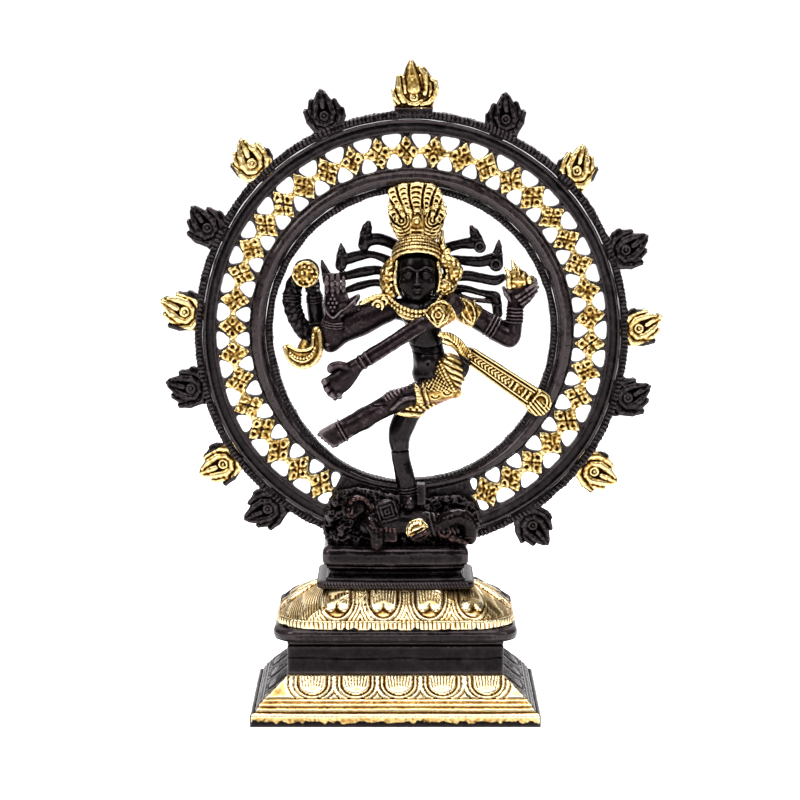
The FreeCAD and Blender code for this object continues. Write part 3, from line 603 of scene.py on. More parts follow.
class Plan:
    """Places round a rounded rectangle, shared by every level of one tier."""

    def __init__(self, half_x, half_y, corner, spacing, corner_count=7):
        long_count = max(int(2 * (half_x - corner) / spacing), 3)
        side_count = max(int(2 * (half_y - corner) / spacing), 3)
        stretch_x, stretch_y, round_x, round_y, side = [], [], [], [], []
        for number in range(4):
            way = number * math.pi / 2 - math.pi / 2
            out = np.array([math.cos(way), math.sin(way)])
            count = long_count if number % 2 == 0 else side_count
            share = np.linspace(-1, 1, count)[:, None]
            run = np.array([-out[1], out[0]]) * share
            place = run + out
            stretch_x.append(place[:, 0])
            stretch_y.append(place[:, 1])
            round_x.append(np.full(count, out[0]))
            round_y.append(np.full(count, out[1]))
            side.append(np.full(count, number))
            turn = way + np.linspace(0, math.pi / 2, corner_count)[1:-1]
            ahead = np.array([-out[1], out[0]])
            stretch_x.append(np.full(len(turn), out[0] + ahead[0]))
            stretch_y.append(np.full(len(turn), out[1] + ahead[1]))
            round_x.append(np.cos(turn))
            round_y.append(np.sin(turn))
            side.append(np.full(len(turn), number + 0.5))
        self.stretch = np.stack([np.concatenate(stretch_x), np.concatenate(stretch_y)], -1)
        self.round = np.stack([np.concatenate(round_x), np.concatenate(round_y)], -1)
        self.side = np.concatenate(side)

    def skin(self, levels):
        """The closed surface through levels of (half_x, half_y, corner, bow, z)."""
        levels = np.asarray(levels, float)
        half = levels[None, :, 0:2]
        corner = levels[None, :, 2]
        places = self.stretch[:, None, :] * (half - corner[..., None])
        places = places + self.round[:, None, :] * corner[..., None]
        bowed = levels[None, :, 3] * (1 - np.clip(places[..., 0] / half[..., 0], -1, 1) ** 2)
        y = places[..., 1] + self.round[:, None, 1] * bowed
        z = np.broadcast_to(levels[None, :, 4], y.shape)
        skin = loop_skin(np.stack([places[..., 0], y, z], -1))
        skin.side = np.repeat(self.side, len(levels))
        return skin


def fill_in(levels, spacing):
    """Add levels between those given, so that no two are further apart than the spacing."""
    levels = [np.asarray(level, float) for level in levels]
    filled = []
    for level, after in zip(levels, levels[1:] + levels[:1]):
        gap = max(np.abs((after - level)[[0, 1, 4]]).max(), 1e-6)
        count = max(int(np.ceil(gap / spacing)), 1)
        filled += [level + (after - level) * step / count for step in range(count)]
    return filled


PETAL_TOP = 11.0        # where a slope of petals ends, measured up it


def petal(across, up, half_width, foot, cleft):
    """The height of one lotus petal: a raised pad with ticks at its top, inside engraved lines."""
    centre = foot + half_width
    outer = np.where(up > centre, np.abs(across), np.hypot(across, up - centre)) - half_width
    if cleft:
        lobe = half_width * 0.44
        pad_foot = foot + half_width * 0.3 + lobe
        nearer = np.abs(np.abs(across) - lobe)
        pad = np.where(up > pad_foot, nearer, np.hypot(nearer, up - pad_foot)) - lobe
        pad = np.where((up > pad_foot) & (np.abs(across) < lobe), np.abs(across) - 2 * lobe, pad)
    else:
        pad = outer + 0.5
    height = 0.8 * smooth_step(0.3, -0.3, pad)
    height += (0.45 * pulse(outer - 0.75, 0.5) - 0.4 * pulse(outer - 0.05, 0.26)
               - 0.45 * pulse(outer - 1.55, 0.3))
    fan = across * (1 + 0.05 * (PETAL_TOP - up))
    cuts = pulse((np.mod(fan * 0.8, 1.0) - 0.5) / 0.8, 0.2)
    height -= 0.6 * cuts * smooth_step(-0.5, -0.9, pad) * smooth_step(5.2, 6.4, up + 0.09 * across ** 2)
    return height, outer


def petal_band(across, up, middles, half_width, foot, cleft):
    """A row of lotus petals with slanted leaves between them."""
    height = np.zeros_like(across)
    nearest = np.full(across.shape, 99.0)
    for middle in middles:
        one, outer = petal(across - middle, up, half_width, foot, cleft)
        height = np.where(outer < nearest, one, height)
        nearest = np.minimum(nearest, outer)
    if cleft:
        leaves = -0.38 * pulse(np.mod(nearest - 1.75, 1.1) - 0.9, 0.22)
    else:
        leaves = 0.35 - 0.5 * pulse(nearest - 3.4, 0.3) * smooth_step(12, 4, nearest)
    height = np.where(nearest > 1.75, leaves, height)
    return height * smooth_step(0, 0.5, up) * smooth_step(PETAL_TOP, PETAL_TOP - 0.5, up)


TIERS = {name: node_box(name) for name in (
    "lotus_plinth", "plinth_die", "cornice_slab", "lotus_cushion", "rope_collar",
    "pedestal_neck", "pedestal_cap")}
BOW = 1.6               # how far the long faces of the upper tiers swell outward
WALL = 3.6              # of the two hollow tiers
STUD_HOLE = 2.8
CUSHION_CORNER = 13.0
CORNICE_CORNER = 9.0
TIER_CELL = 0.42 * COARSE


def front_gilt(points, side, low, fade, seed=3):
    """Gilt on the front, about half of it left at the front corners, and none at the lower edge."""
    share = (side == 0).astype(float) + 0.45 * (side == 0.5) + 0.45 * (side == 3.5)
    worn = smooth_step(low, low + fade, points[:, 2] + 0.9 * grain(points, 1.6, seed))
    return share * worn


def bore(top, bottom, radius=STUD_HOLE):
    """The two levels that close a tier round the hole for the fixing stud."""
    return [(radius, radius, radius, 0, z) for z in (top, bottom)]


def lotus_plinth():
    half_x, half_y, top = TIERS["lotus_plinth"][1]
    die_x, die_y = TIERS["plinth_die"][1][:2]
    moulding = 9.3
    edge = [(0, 0), (0.0, 4.0), (0.35, 4.6), (1.0, 4.8), (1.6, 5.0), (1.9, 5.9), (2.6, 6.6),
            (2.9, 6.9), (2.9, 7.5), (3.6, 8.0), (4.1, 8.5), (4.3, 8.9), (4.6, 9.2), (4.9, moulding)]
    levels = [(half_x - inset, half_y - inset * 0.86, 0.6, 0, z) for inset, z in edge]
    levels += [(die_x + 0.1, die_y + 0.1, 0.5, 0, top - 0.1), (die_x - 0.4, die_y - 0.4, 0.4, 0, top)]
    levels += [(die_x - WALL, die_y - WALL, 0.4, 0, top),
               (half_x - 1.5 * WALL, half_y - 1.5 * WALL, 0.4, 0, 0)]
    skin = Plan(half_x, half_y, 0.6, TIER_CELL, 5).skin(fill_in(levels, TIER_CELL))
    slope_z = top - moulding

    def height(points, normals):
        rise = (points[:, 2] - moulding) / slope_z
        on_slope = (rise > 0.0) & (rise < 0.99) & (normals[:, 2] > 0.15) & (normals[:, 2] < 0.93)
        up = rise * PETAL_TOP
        front = np.isin(skin.side, (0, 2))
        across = np.where(front, points[:, 0], points[:, 1])
        long_row = petal_band(across, up, (-30.4, -14.5, 1.2, 17.1, 33.4), 5.4, 1.5, False)
        short_row = petal_band(across, up, (-16.5, 0, 16.5), 5.4, 1.5, False)
        rows = np.where(front, long_row, short_row * 0.6)
        return np.where(on_slope, rows, 0) + cast(points, fine=0.03, broad=0.08, seed=11)
    skin.relief(height)
    skin.gilt = front_gilt(skin.points, skin.side, 0.9, 1.4)
    skin.gilt *= np.where(skin.points[:, 2] < 4.1, 0.62, 1.0)
    inside = (np.abs(skin.points[:, 0]) < die_x - WALL + 11) & (skin.points[:, 2] < 0.2)
    skin.gilt[inside] = 0
    brass_piece("lotus_plinth", skin, BRIGHT)


def plinth_die():
    low, high = TIERS["plinth_die"]
    half_x, half_y, top = high
    roof = 3.5
    levels = [(half_x - 0.25, half_y - 0.25, 0.5, 0, low[2]), (half_x, half_y, 0.7, 0, low[2] + 0.4),
              (half_x, half_y, 0.7, 0, top - 1.9), (half_x - 0.45, half_y - 0.45, 0.7, 0, top - 1.6),
              (half_x - 0.45, half_y - 0.45, 0.7, 0, top - 1.3), (half_x, half_y, 0.7, 0, top - 1.0),
              (half_x, half_y, 0.7, 0, top - 0.2), (half_x - 0.2, half_y - 0.2, 0.5, 0, top),
              *bore(top, top - roof),
              (half_x - WALL, half_y - WALL, 0.4, 0, top - roof),
              (half_x - WALL, half_y - WALL, 0.4, 0, low[2])]
    skin = Plan(half_x, half_y, 0.7, TIER_CELL * 1.3).skin(fill_in(levels, TIER_CELL * 1.3))
    skin.relief(lambda points, normals: cast(points, fine=0.02, broad=0.1, seed=21)
                - 0.12 * pulse(points[:, 2] - 23.0 - 0.3 * grain(points, 9.0, 5), 0.3))
    dark_piece("plinth_die", skin)


def cornice_slab():
    low, high = TIERS["cornice_slab"]
    nose, levels = 2.4, []
    rows = [(2.6, 0.0), (1.9, 0.15), (1.0, 0.6), (0.35, 1.0), (0.5, 1.25), (0.15, 1.7), (0.0, 2.4),
            (0.0, 3.6), (0.25, 4.4), (0.7, 5.0), (1.3, 5.35), (nose, 5.5)]
    for inset, rise in rows:
        levels.append((high[0] - inset, high[1] - inset, CORNICE_CORNER, 0, low[2] + rise))
    levels += bore(high[2], low[2])
    skin = Plan(high[0], high[1], CORNICE_CORNER, TIER_CELL * 1.3, 26).skin(fill_in(levels, TIER_CELL * 1.3))
    skin.roughen(0.02, 0.14, 31)
    dark_piece("cornice_slab", skin)


def lotus_cushion():
    low, high = TIERS["lotus_cushion"]
    half_x, half_y = high[0], high[1] - BOW
    rise_all = high[2] - low[2]
    crown_x, crown_y = 27.5, 14.5
    heights = [0, 0.12, 0.24, 0.27, 0.36, 0.5, 0.64, 0.78, 0.9, 1.0]
    inward = [0, 0.0, 0.012, 0.05, 0.12, 0.26, 0.43, 0.64, 0.83, 1.0]
    corner = CUSHION_CORNER
    levels = []
    for height, share in zip(heights, inward):
        levels.append((half_x - share * (half_x - crown_x), half_y - share * (half_y - crown_y),
                       corner + share, BOW, low[2] + height * rise_all))
    levels += bore(high[2], low[2])
    levels = fill_in(levels, TIER_CELL * 1.25)
    plan = Plan(half_x, half_y, corner, TIER_CELL * 1.25, 40)
    skin = plan.skin(levels)
    turn = np.repeat(np.arctan2(np.abs(plan.round[:, 0]), np.abs(plan.round[:, 1])), len(levels))
    facing = np.repeat(-plan.round[:, 1], len(levels))
    band_top = low[2] + 0.26 * rise_all

    def height(points, normals):
        x = points[:, 0]
        front = ~np.isin(skin.side, (1, 3))
        along = np.sign(x) * (np.abs(x) + corner * (turn - np.sin(turn)))
        across = np.where(front, along, points[:, 1])
        in_band = (smooth_step(0.1, 0.5, points[:, 2] - low[2])
                   * smooth_step(0.2, -0.2, points[:, 2] - band_top))
        beads = 0.45 * np.abs(np.cos(math.pi * (across / 1.6 + 0.25 * grain(points, 6.0, 43)))) - 0.2
        share = (points[:, 2] - band_top) / (high[2] - band_top)
        up = 11.5 * (0.35 * share + 0.65 * (1 - np.sqrt(np.clip(1 - share, 0, 1))))
        long_row = petal_band(across, up, (-21.4, -4.4, 12.4, 28.4), 5.4, 1.0, True)
        short_row = petal_band(across, up, (-6.0, 6.0), 5.0, 1.0, True)
        rows = np.where(front, long_row, short_row)
        on_dome = (share > 0.0) & (share < 0.97) & (normals[:, 2] < 0.985)
        return np.where(on_dome, rows, beads * in_band) + cast(points, fine=0.03, broad=0.08, seed=41)
    skin.relief(height)
    edge = skin.points[:, 1] + 3 * grain(skin.points, 5.0, 44)
    side = np.where((facing > 0.3) | ((facing > -0.1) & (edge < 5)), 0, 1)
    skin.gilt = front_gilt(skin.points, side, low[2] - 0.2, 0.9, 8)
    brass_piece("lotus_cushion", skin, BRIGHT)


def rope_collar():
    low, high = TIERS["rope_collar"]
    half_x, half_y = high[0], high[1] - BOW
    rows = [(1.5, 0.0), (0.7, 0.25), (0.2, 0.75), (0.0, 1.4), (0.1, 2.0), (0.5, 2.6), (1.1, 2.95), (1.8, 3.1)]
    levels = [(half_x - inset, half_y - inset, 2.5, BOW, low[2] + rise) for inset, rise in rows]
    levels += bore(high[2], low[2])
    spacing = 0.22 * COARSE
    skin = Plan(half_x, half_y, 2.5, spacing, 17).skin(fill_in(levels, 0.5 * COARSE))

    def height(points, normals):
        along = np.where(np.isin(skin.side, (0, 2)), points[:, 0], points[:, 1])
        along = np.where(np.mod(skin.side, 1) > 0, points[:, 0] - points[:, 1], along)
        on_face = smooth_step(0.95, 0.6, np.abs(normals[:, 2]))
        notch = np.abs(np.sin(math.pi * (along + 0.35 * (points[:, 2] - low[2])) / 1.15))
        return (0.34 * notch - 0.34) * on_face * (0.8 + 0.3 * grain(points, 3.0, 6))
    skin.relief(height)
    dark_piece("rope_collar", skin)


def pedestal_neck():
    low, high = TIERS["pedestal_neck"]
    half_x, half_y = high[0] - 1.2, high[1] - 1.2 - BOW
    rows = [(1.2, 0.0), (1.15, 0.45), (0.6, 0.9), (0.2, 1.5), (0.05, 2.3), (0.1, 3.2), (0.35, 3.9),
            (0.9, 4.4), (1.2, 5.0)]
    levels = [(half_x + out, half_y + out, 1.5, BOW, low[2] + rise) for out, rise in rows]
    levels += bore(high[2], low[2])
    skin = Plan(half_x, half_y, 1.5, TIER_CELL).skin(fill_in(levels, TIER_CELL))
    skin.roughen(0.03, 0.12, 51)
    dark_piece("pedestal_neck", skin)


def pedestal_cap():
    """The cap, with the groove that the foot of the ring sits in."""
    low, high = TIERS["pedestal_cap"]
    half_x, half_y = high[0], high[1] - BOW
    rows = [(2.2, 0.0), (1.2, 0.2), (0.5, 0.7), (0.1, 1.5), (0.0, 2.6), (0.0, 4.4), (0.15, 5.2),
            (0.5, 6.1), (0.9, 6.5), (1.4, 6.8), (2.2, 7.2)]
    levels = [(half_x - inset, half_y - inset, 2.2, BOW, low[2] + rise) for inset, rise in rows]
    core = 1.5
    levels += bore(high[2], low[2], core)
    skin = Plan(half_x, half_y, 2.2, TIER_CELL).skin(fill_in(levels, TIER_CELL))
    skin.roughen(0.04, 0.2, 61)
    points = skin.points
    span = np.clip(RING_RADIUS ** 2 - (points[:, 0] - RING_X) ** 2, 0, None)
    groove = np.minimum(points[:, 2], RING_Z - np.sqrt(span) - 0.05)
    points[:, 2] = np.where(np.abs(points[:, 1]) < RING_HALF_THICK + 0.1, groove, points[:, 2])
    dark_piece("pedestal_cap", skin)


def fixings():
    """The clamping stud, washer and nut keep their CAD shape. Their faces take plated steel."""
    for name in ("fixing_stud", "fixing_washer", "fixing_nut"):
        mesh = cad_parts[name].data
        for slot in range(len(mesh.materials)):
            mesh.materials[slot] = PLATED
        for attribute, value in (("wear_and_painted_light", 0.6), ("gilt", 0.0)):
            layer = mesh.attributes.new(attribute, "FLOAT", "POINT")
            layer.data.foreach_set("value", np.full(len(mesh.vertices), value, np.float32))


# ---------------------------------------------------------------- ring of fire

def turned(section, count, height):
    """A closed section of (radius, y) points carried round the ring's axis."""
    section = np.asarray(section, float)
    angle = np.arange(count) * 2 * math.pi / count
    radius = section[None, :, 0] + 0 * angle[:, None]
    depth = section[None, :, 1] + 0 * angle[:, None]
    turn = angle[:, None] + 0 * radius
    skin = loop_skin(np.stack([RING_X + radius * np.sin(turn), depth, RING_Z + radius * np.cos(turn)], -1))
    skin.turn = turn.ravel()
    return skin.relief(lambda points, normals: height(skin, points, normals))


def rounded_section(inner, outer, half, corners, spacing, bulge=0.0):
    """A section whose corners have the radii given: front inner, front outer, back outer, back inner.

    Bulge is how far its front and back faces swell in the middle."""
    middle = (inner + outer) / 2
    spots = [(inner, -half, -1, -1), (outer, -half, 1, -1), (outer, half, 1, 1), (inner, half, -1, 1)]
    points = []
    for (r, y, way_r, way_y), radius in zip(spots, corners):
        start = {(-1, -1): math.pi, (1, -1): 1.5 * math.pi, (1, 1): 0, (-1, 1): 0.5 * math.pi}[way_r, way_y]
        for step in np.linspace(0, math.pi / 2, 5):
            turn = start + step
            points.append((r - way_r * radius + radius * math.cos(turn),
                           y - way_y * radius + radius * math.sin(turn)))
    dense = []
    for one, two in zip(points, points[1:] + points[:1]):
        gap = math.dist(one, two)
        count = max(int(math.ceil(gap / spacing)), 1)
        dense += [(one[0] + (two[0] - one[0]) * k / count, one[1] + (two[1] - one[1]) * k / count)
                  for k in range(count)]
    if bulge:
        width = (outer - inner) / 2
        dense = [(r, y + math.copysign(bulge, y) * max(1 - ((r - middle) / width) ** 2, 0))
                 for r, y in dense]
    return dense


def settle(points):
    """The ring isn't quite round: it sags outward low down, and its opening is wider there."""
    x, z = points[:, 0] - RING_X, points[:, 2] - RING_Z
    radius = np.maximum(np.hypot(x, z), 1.0)
    turn = np.degrees(np.arctan2(x, z))
    low = np.abs(turn)
    wide = smooth_step(112, 170, low) * np.where(turn < 0, 4.4, 3.4) - 0.7 * smooth_step(125, 105, low)
    inner = np.clip((INNER_HOOP_OUT - radius) / (INNER_HOOP_OUT - OPENING_RADIUS), 0, 1) * wide
    sag = smooth_step(100, 125, low) * smooth_step(178, 160, low) - 0.9 * pulse(low - 78, 26)
    outer = np.clip((radius - INNER_HOOP_OUT) / (RING_RADIUS - INNER_HOOP_OUT), 0, 1.1) * sag
    share = (radius + inner + outer) / radius
    moved = points.copy()
    moved[:, 0] = RING_X + x * share
    moved[:, 2] = RING_Z + z * share
    return moved


def settled(skin):
    skin.points = settle(skin.points)
    return skin


def crowned(value, middle, half):
    """1 in the middle of a band, falling in an arc to nothing at its edges."""
    return np.clip(1 - ((value - middle) / half) ** 2, 0, 1)


def ring_bands():
    """The smooth hoops and the notched rope edges that border them."""
    half = RING_HALF_THICK
    step = 0.45 * COARSE
    steps_round = int(700 / COARSE)

    def inner_band(skin, points, normals):
        radius = np.hypot(points[:, 0] - RING_X, points[:, 2] - RING_Z)
        crest = 0.8 * crowned(radius, 56.4, 2.6) - 0.15 * pulse(radius - 55.0, 0.7)
        return crest * np.abs(normals[:, 1]) + cast(points, fine=0.03, broad=0.16, seed=71)
    section = rounded_section(INNER_ROPE_OUT, INNER_HOOP_OUT, half - 0.35, (0.5, 1.2, 0.9, 0.5), step, 0.35)
    dark_piece("inner_hoop", settled(turned(section, steps_round, inner_band)))

    def outer_band(skin, points, normals):
        radius = np.hypot(points[:, 0] - RING_X, points[:, 2] - RING_Z)
        crest = (0.45 * pulse(radius - 76.5, 0.4) + 0.15 * pulse(radius - 72.9, 0.4)
                 + 0.25 * crowned(radius, 74.7, 1.6))
        return crest * np.abs(normals[:, 1]) + cast(points, fine=0.03, broad=0.14, seed=72)
    section = rounded_section(OUTER_HOOP_IN, OUTER_HOOP_OUT, half - 0.4, (0.5, 0.5, 0.5, 0.5), step)
    dark_piece("outer_hoop", settled(turned(section, steps_round, outer_band)))

    def rope(notches, slant, depth, seed, smooth_side):
        def height(skin, points, normals):
            phase = skin.turn * notches / (2 * math.pi) + slant * points[:, 1]
            phase += 0.5 * grain(points, 9.0, seed)
            ridge = np.abs(np.sin(math.pi * phase)) ** 0.9
            uneven = 0.6 + 0.7 * grain(points, 1.7, seed + 1)
            radius = np.hypot(points[:, 0] - RING_X, points[:, 2] - RING_Z)
            ridge = ridge * smooth_step(0.5, 1.3, np.abs(radius - smooth_side))
            return depth * (ridge * uneven - 0.55) + 0.2 * grain(points, 4.0, seed + 2)
        return height
    section = rounded_section(OUTER_HOOP_OUT, RING_RADIUS, half - 0.3, (0.3, 1.3, 1.1, 0.3), 0.4 * COARSE)
    dark_piece("outer_rope_edge",
               settled(turned(section, int(1850 / COARSE), rope(318, 0.16, 0.5, 81, OUTER_HOOP_OUT))))
    section = rounded_section(OPENING_RADIUS, INNER_ROPE_OUT, half - 0.3, (1.1, 0.3, 0.3, 1.0), 0.4 * COARSE)
    dark_piece("inner_rope_edge",
               settled(turned(section, int(1700 / COARSE), rope(232, -0.2, 0.36, 91, INNER_ROPE_OUT))))


LINKS = 36
LINK_HALF_DEPTH = 1.8
LINK_PITCH = 8.7        # degrees
FIRST_LINK = -149.5     # degrees from the top, clockwise as seen from the front


def ring_point(angle, radius):
    """A point on the ring, at an angle from the top, clockwise as seen from the front."""
    turn = math.radians(angle)
    return np.array([RING_X + radius * math.sin(turn), 0, RING_Z + radius * math.cos(turn)])


def ring_turn(angle):
    """The rotation that turns upright work at the top of the ring to that angle."""
    turn = math.radians(angle)
    return np.array([[math.cos(turn), 0, math.sin(turn)], [0, 1, 0], [-math.sin(turn), 0, math.cos(turn)]])


def lattice_links():
    """Openwork: diamond links that touch at their points and run into both hoops."""
    clay = Clay(0.44)
    wide, tall, blend = 5.0, 6.2, 1.5
    reach = (OUTER_HOOP_IN - INNER_HOOP_OUT) / 2
    nudge = rng.uniform(-1, 1, (LINKS + 2, 3))

    def distance(x, y, z):
        radius = np.hypot(x - RING_X, z - RING_Z)
        out = radius - LATTICE_MIDDLE
        angle = np.degrees(np.arctan2(x - RING_X, z - RING_Z))
        place = (angle - FIRST_LINK) / LINK_PITCH
        place = np.where(place < -8, place + 360 / LINK_PITCH, place)
        nearest = np.clip(np.round(place), 0, LINKS - 1)

        def link(number):
            spot = np.clip(number, -1, LINKS).astype(int)
            shift = nudge[spot, 0] * 0.25
            across = (place - number) * math.radians(LINK_PITCH) * radius - shift
            diamond = (np.abs(across) / (wide + 0.2 * nudge[spot, 1])
                       + np.abs(out + 0.25 * nudge[spot, 2]) / tall)
            diamond = (diamond - 1) * wide * tall / math.hypot(wide, tall)
            strut = np.abs(across) - 1.7
            return merge(diamond, strut, blend)
        side = np.where(place > nearest, 1, -1)
        plan = merge(link(nearest), np.where((nearest + side < 0) | (nearest + side > LINKS - 1), 9.0,
                                             link(nearest + side)), blend)
        plan = merge(merge(plan, reach - 0.25 - out, blend), reach - 0.25 + out, blend)
        beyond = np.where(place > LINKS / 2, LINKS - 0.55 - place, place + 0.55)
        plan = merge(plan, beyond * math.radians(LINK_PITCH) * radius, blend)
        plan = np.maximum(plan, np.abs(out) - reach - 0.4)
        side_gap, depth_gap = plan + 0.3, np.abs(y) - (LINK_HALF_DEPTH - 0.3)
        return (np.sqrt(np.maximum(side_gap, 0) ** 2 + np.maximum(depth_gap, 0) ** 2)
                + np.minimum(np.maximum(side_gap, depth_gap), 0) - 0.3)
    low = np.array([RING_X - 73.2, -1.9, RING_Z - 73.2])
    clay.add((low, low + (146.4, 3.8, 146.4), distance), 0)
    dark_piece("lattice_links", settled(clay.skin().roughen(0.07, 0.15, 101)))


def rosette(number):
    """One gilt tile: four rounded lobes, each with a pit, and a neck towards each neighbour."""
    wide, tall = 5.0 + rng.uniform(-0.25, 0.2), 6.0 + rng.uniform(-0.4, 0.3)
    sharp, pits, skew = rng.uniform(0.2, 0.9), rng.uniform(0.05, 0.8, 4), rng.uniform(-0.12, 0.12, 2)
    off = rng.uniform(-0.06, 0.06, (4, 2))
    clay = Clay(0.27)

    def distance(x, y, z):
        one = (x + skew[0] * z) / wide
        two = (z + skew[1] * x) / tall
        rim = (np.abs(one) + np.abs(two) - 1) * 3.7
        rim = rim + 0.35 * pulse(np.abs(one) - np.abs(two), 0.16)
        rim = merge(rim, np.maximum(np.abs(z) - 1.1, np.abs(x) - wide - 0.9), 0.8)
        height = 0.55 - 0.42 * sharp * (pulse(one - two, 0.11) + pulse(one + two, 0.11))
        height = height - 0.3 * smooth_step(-1.0, 0.1, rim)
        for pit, (ox, oz), (px, pz) in zip(pits, off, ((-0.5, 0), (0.5, 0), (0, -0.5), (0, 0.5))):
            gap = np.hypot((one - px - ox) * wide, (two - pz - oz) * tall)
            height = height + 0.28 * pit * pulse(gap - 1.15, 0.4) - 0.7 * pit * pulse(gap, 0.5)
        front = -y - 1.75 - height
        return np.maximum(np.maximum(rim, front * 0.8), y + 1.5)
    clay.add(((-6.6, -3.4, -7.0), (6.6, -1.4, 7.0), distance), 0)
    skin = clay.skin(1.0).smooth(1, 0.4)
    skin.relief(lambda points, normals: (0.2 * grain(points, 0.9, 200 + number)
                                         + 0.14 * grain(points, 2.2, 240 + number)))
    angle = FIRST_LINK + number * LINK_PITCH
    skin.move(ring_turn(angle), ring_point(angle, LATTICE_MIDDLE))
    return settled(skin)


def lattice_rosettes():
    tiles = [rosette(number) for number in range(LINKS)]
    brass_piece("lattice_rosettes", join(tiles))


# each flame's place round the ring and the way its tip points, in degrees clockwise from the top
FLAMES = [
    (0.5, 0), (24.9, 5), (47.2, 20), (69.5, 63), (90.6, 68), (109.4, 70), (128.1, 122), (148.2, 148),
    (-142.5, -121), (-125.7, -120), (-106, -83), (-86.2, -68), (-64.3, -42), (-44, -32), (-22.4, -14),
]
GILT_FLAMES = (1, 3, 5, 7, 10, 12, 14)


def ribbon(points, radii, front):
    """A chain of flattened bones in a flame's own plane: points are (across, up)."""
    return [bone((a[0], front, a[1]), (b[0], front, b[1]), ra, rb, 0.75)
            for a, b, ra, rb in zip(points, points[1:], radii, radii[1:])]


def small_flame():
    """Two crescents of fire that wrap round an eye, with tongues between them. Its root is the origin."""
    outline = [(-4.4, -2.2), (-5.4, 1.4), (-6.9, 4.4), (-6.3, 5.9), (-5.4, 5.8), (-5.2, 8.4), (-4.2, 9.2),
               (-3.2, 8.6), (-2.1, 11.8), (-0.6, 12.9), (0.7, 11.8), (1.8, 9.6), (2.9, 10.6), (4.0, 9.8),
               (4.6, 7.6), (6.1, 7.9), (6.6, 6.6), (5.8, 3.4), (4.8, 0.4), (4.2, -2.2)]
    curls = [
        ([(-1.8, 10.8), (-2.7, 8.0), (-2.9, 4.9), (-1.6, 2.3), (0.6, 1.7), (2.7, 2.8), (3.1, 5.2),
          (2.2, 8.0), (0.3, 11.6)],
         [0.7, 1.05, 1.1, 1.0, 1.0, 1.05, 1.2, 1.15, 0.55]),
        ([(-4.4, 8.6), (-5.1, 5.9), (-4.8, 3.0), (-2.9, 0.5), (0.6, -0.4), (3.6, 0.5),
          (5.2, 3.6), (6.0, 6.9)],
         [0.55, 0.95, 1.1, 1.05, 1.05, 1.1, 1.05, 0.6]),
        ([(3.3, 9.8), (4.2, 7.0), (4.1, 4.8)], [0.55, 0.85, 0.7]),
        ([(-6.4, 5.2), (-5.9, 3.0), (-4.4, 0.4)], [0.55, 0.85, 0.8]),
        ([(-0.7, 12.1), (-0.5, 9.6), (0.0, 7.0)], [0.6, 1.0, 0.8]),
    ]
    return outline, curls, (0.1, 4.3)


def flame_clay(outline, curls, eye, eye_size):
    clay = Clay(0.3)
    clay.add(plate(outline, 1.6, -0.7, 0.5))
    for points, radii in curls:
        for part in ribbon(points, radii, -0.9):
            clay.add(part, 0.2)
    clay.add(hoop((eye[0], -1.15, eye[1]), (0, 1, 0), eye_size, eye_size * 0.36), 0.1)
    clay.add(egg((eye[0], -1.1, eye[1]), (eye_size * 0.42, 0.8, eye_size * 0.42)), 0.1)
    return clay


def flame(number, angle, lean):
    gilded = number in GILT_FLAMES
    if number == 1:
        clay = flame_clay(*top_flame(), 1.2)
        clay.add(slab((0, -0.2, 0.3), (6.7, 2.2, 1.5)), 0.3)
        floor_level, side_limit = 1.7, 20
    else:
        clay = flame_clay(*small_flame(), 1.2)
        floor_level, side_limit = -9.0, 6.3 + rng.uniform(-0.6, 0.8)
    skin = clay.skin()
    size = 1.0 if number == 1 else 1.16
    if angle < 0:
        skin.points[:, 0] *= -1
        skin.faces = skin.faces[:, ::-1]
    skin.points *= (size * (1 + rng.uniform(-0.05, 0.05)), size, size)
    skin.roughen(0.08, 0.16, 300 + number)
    if gilded:
        skin.gild(lambda points, normals: smooth_step(0.1, 0.45, -normals[:, 1]) * (points[:, 1] < -0.2)
                  * (points[:, 2] > floor_level) * (np.abs(points[:, 0]) < side_limit))
    skin.move(ring_turn(lean), ring_point(angle, RING_RADIUS - 0.8))
    maker = brass_piece if gilded else dark_piece
    maker(f"flame_{number:02d}", settled(skin))


def top_flame():
    """The largest flame: close tongues round a broad middle one, over a crescent."""
    outline = [(-6.0, -1.0), (-7.4, 5.0), (-7.9, 8.4), (-6.6, 8.6), (-6.2, 12.8), (-5.2, 13.9), (-3.6, 13.4),
               (-2.8, 16.4), (-1.4, 19.2), (-0.4, 19.4), (0.8, 17.2), (2.2, 17.0), (3.6, 16.6), (5.2, 14.6),
               (6.2, 13.0), (7.6, 12.6), (8.6, 10.4), (8.4, 7.2), (7.2, 4.0), (6.4, -1.0)]
    curls = [([(-0.9, 18.4), (-0.9, 15.6), (-0.5, 12.4), (0.2, 8.8)], [0.8, 1.5, 2.3, 2.5]),
             ([(-5.4, 13.0), (-5.2, 9.8), (-4.7, 6.6), (-3.4, 4.0)], [0.75, 1.15, 1.1, 1.0]),
             ([(-3.5, 12.6), (-3.2, 9.8), (-2.9, 7.2)], [0.6, 0.8, 0.6]),
             ([(-7.3, 7.8), (-6.6, 5.4), (-5.2, 3.4)], [0.55, 0.8, 0.7]),
             ([(2.4, 15.8), (4.0, 13.6), (4.3, 10.4), (3.9, 6.8)], [0.7, 1.1, 1.1, 0.9]),
             ([(2.3, 13.4), (2.9, 10.8), (2.8, 7.6)], [0.5, 0.8, 0.6]),
             ([(6.2, 12.0), (7.6, 11.4), (8.0, 8.6), (7.2, 5.6), (5.4, 3.6), (2.8, 2.9)],
              [0.6, 0.8, 0.95, 1.0, 0.9, 0.7]),
             ([(5.6, 10.6), (6.0, 8.0), (5.6, 6.0)], [0.5, 0.65, 0.5]),
             ([(-2.9, 4.7), (-1.3, 3.2), (0.9, 3.0), (2.8, 4.3)], [0.55, 0.85, 0.85, 0.55]),]
    return outline, curls, (0.1, 5.6)


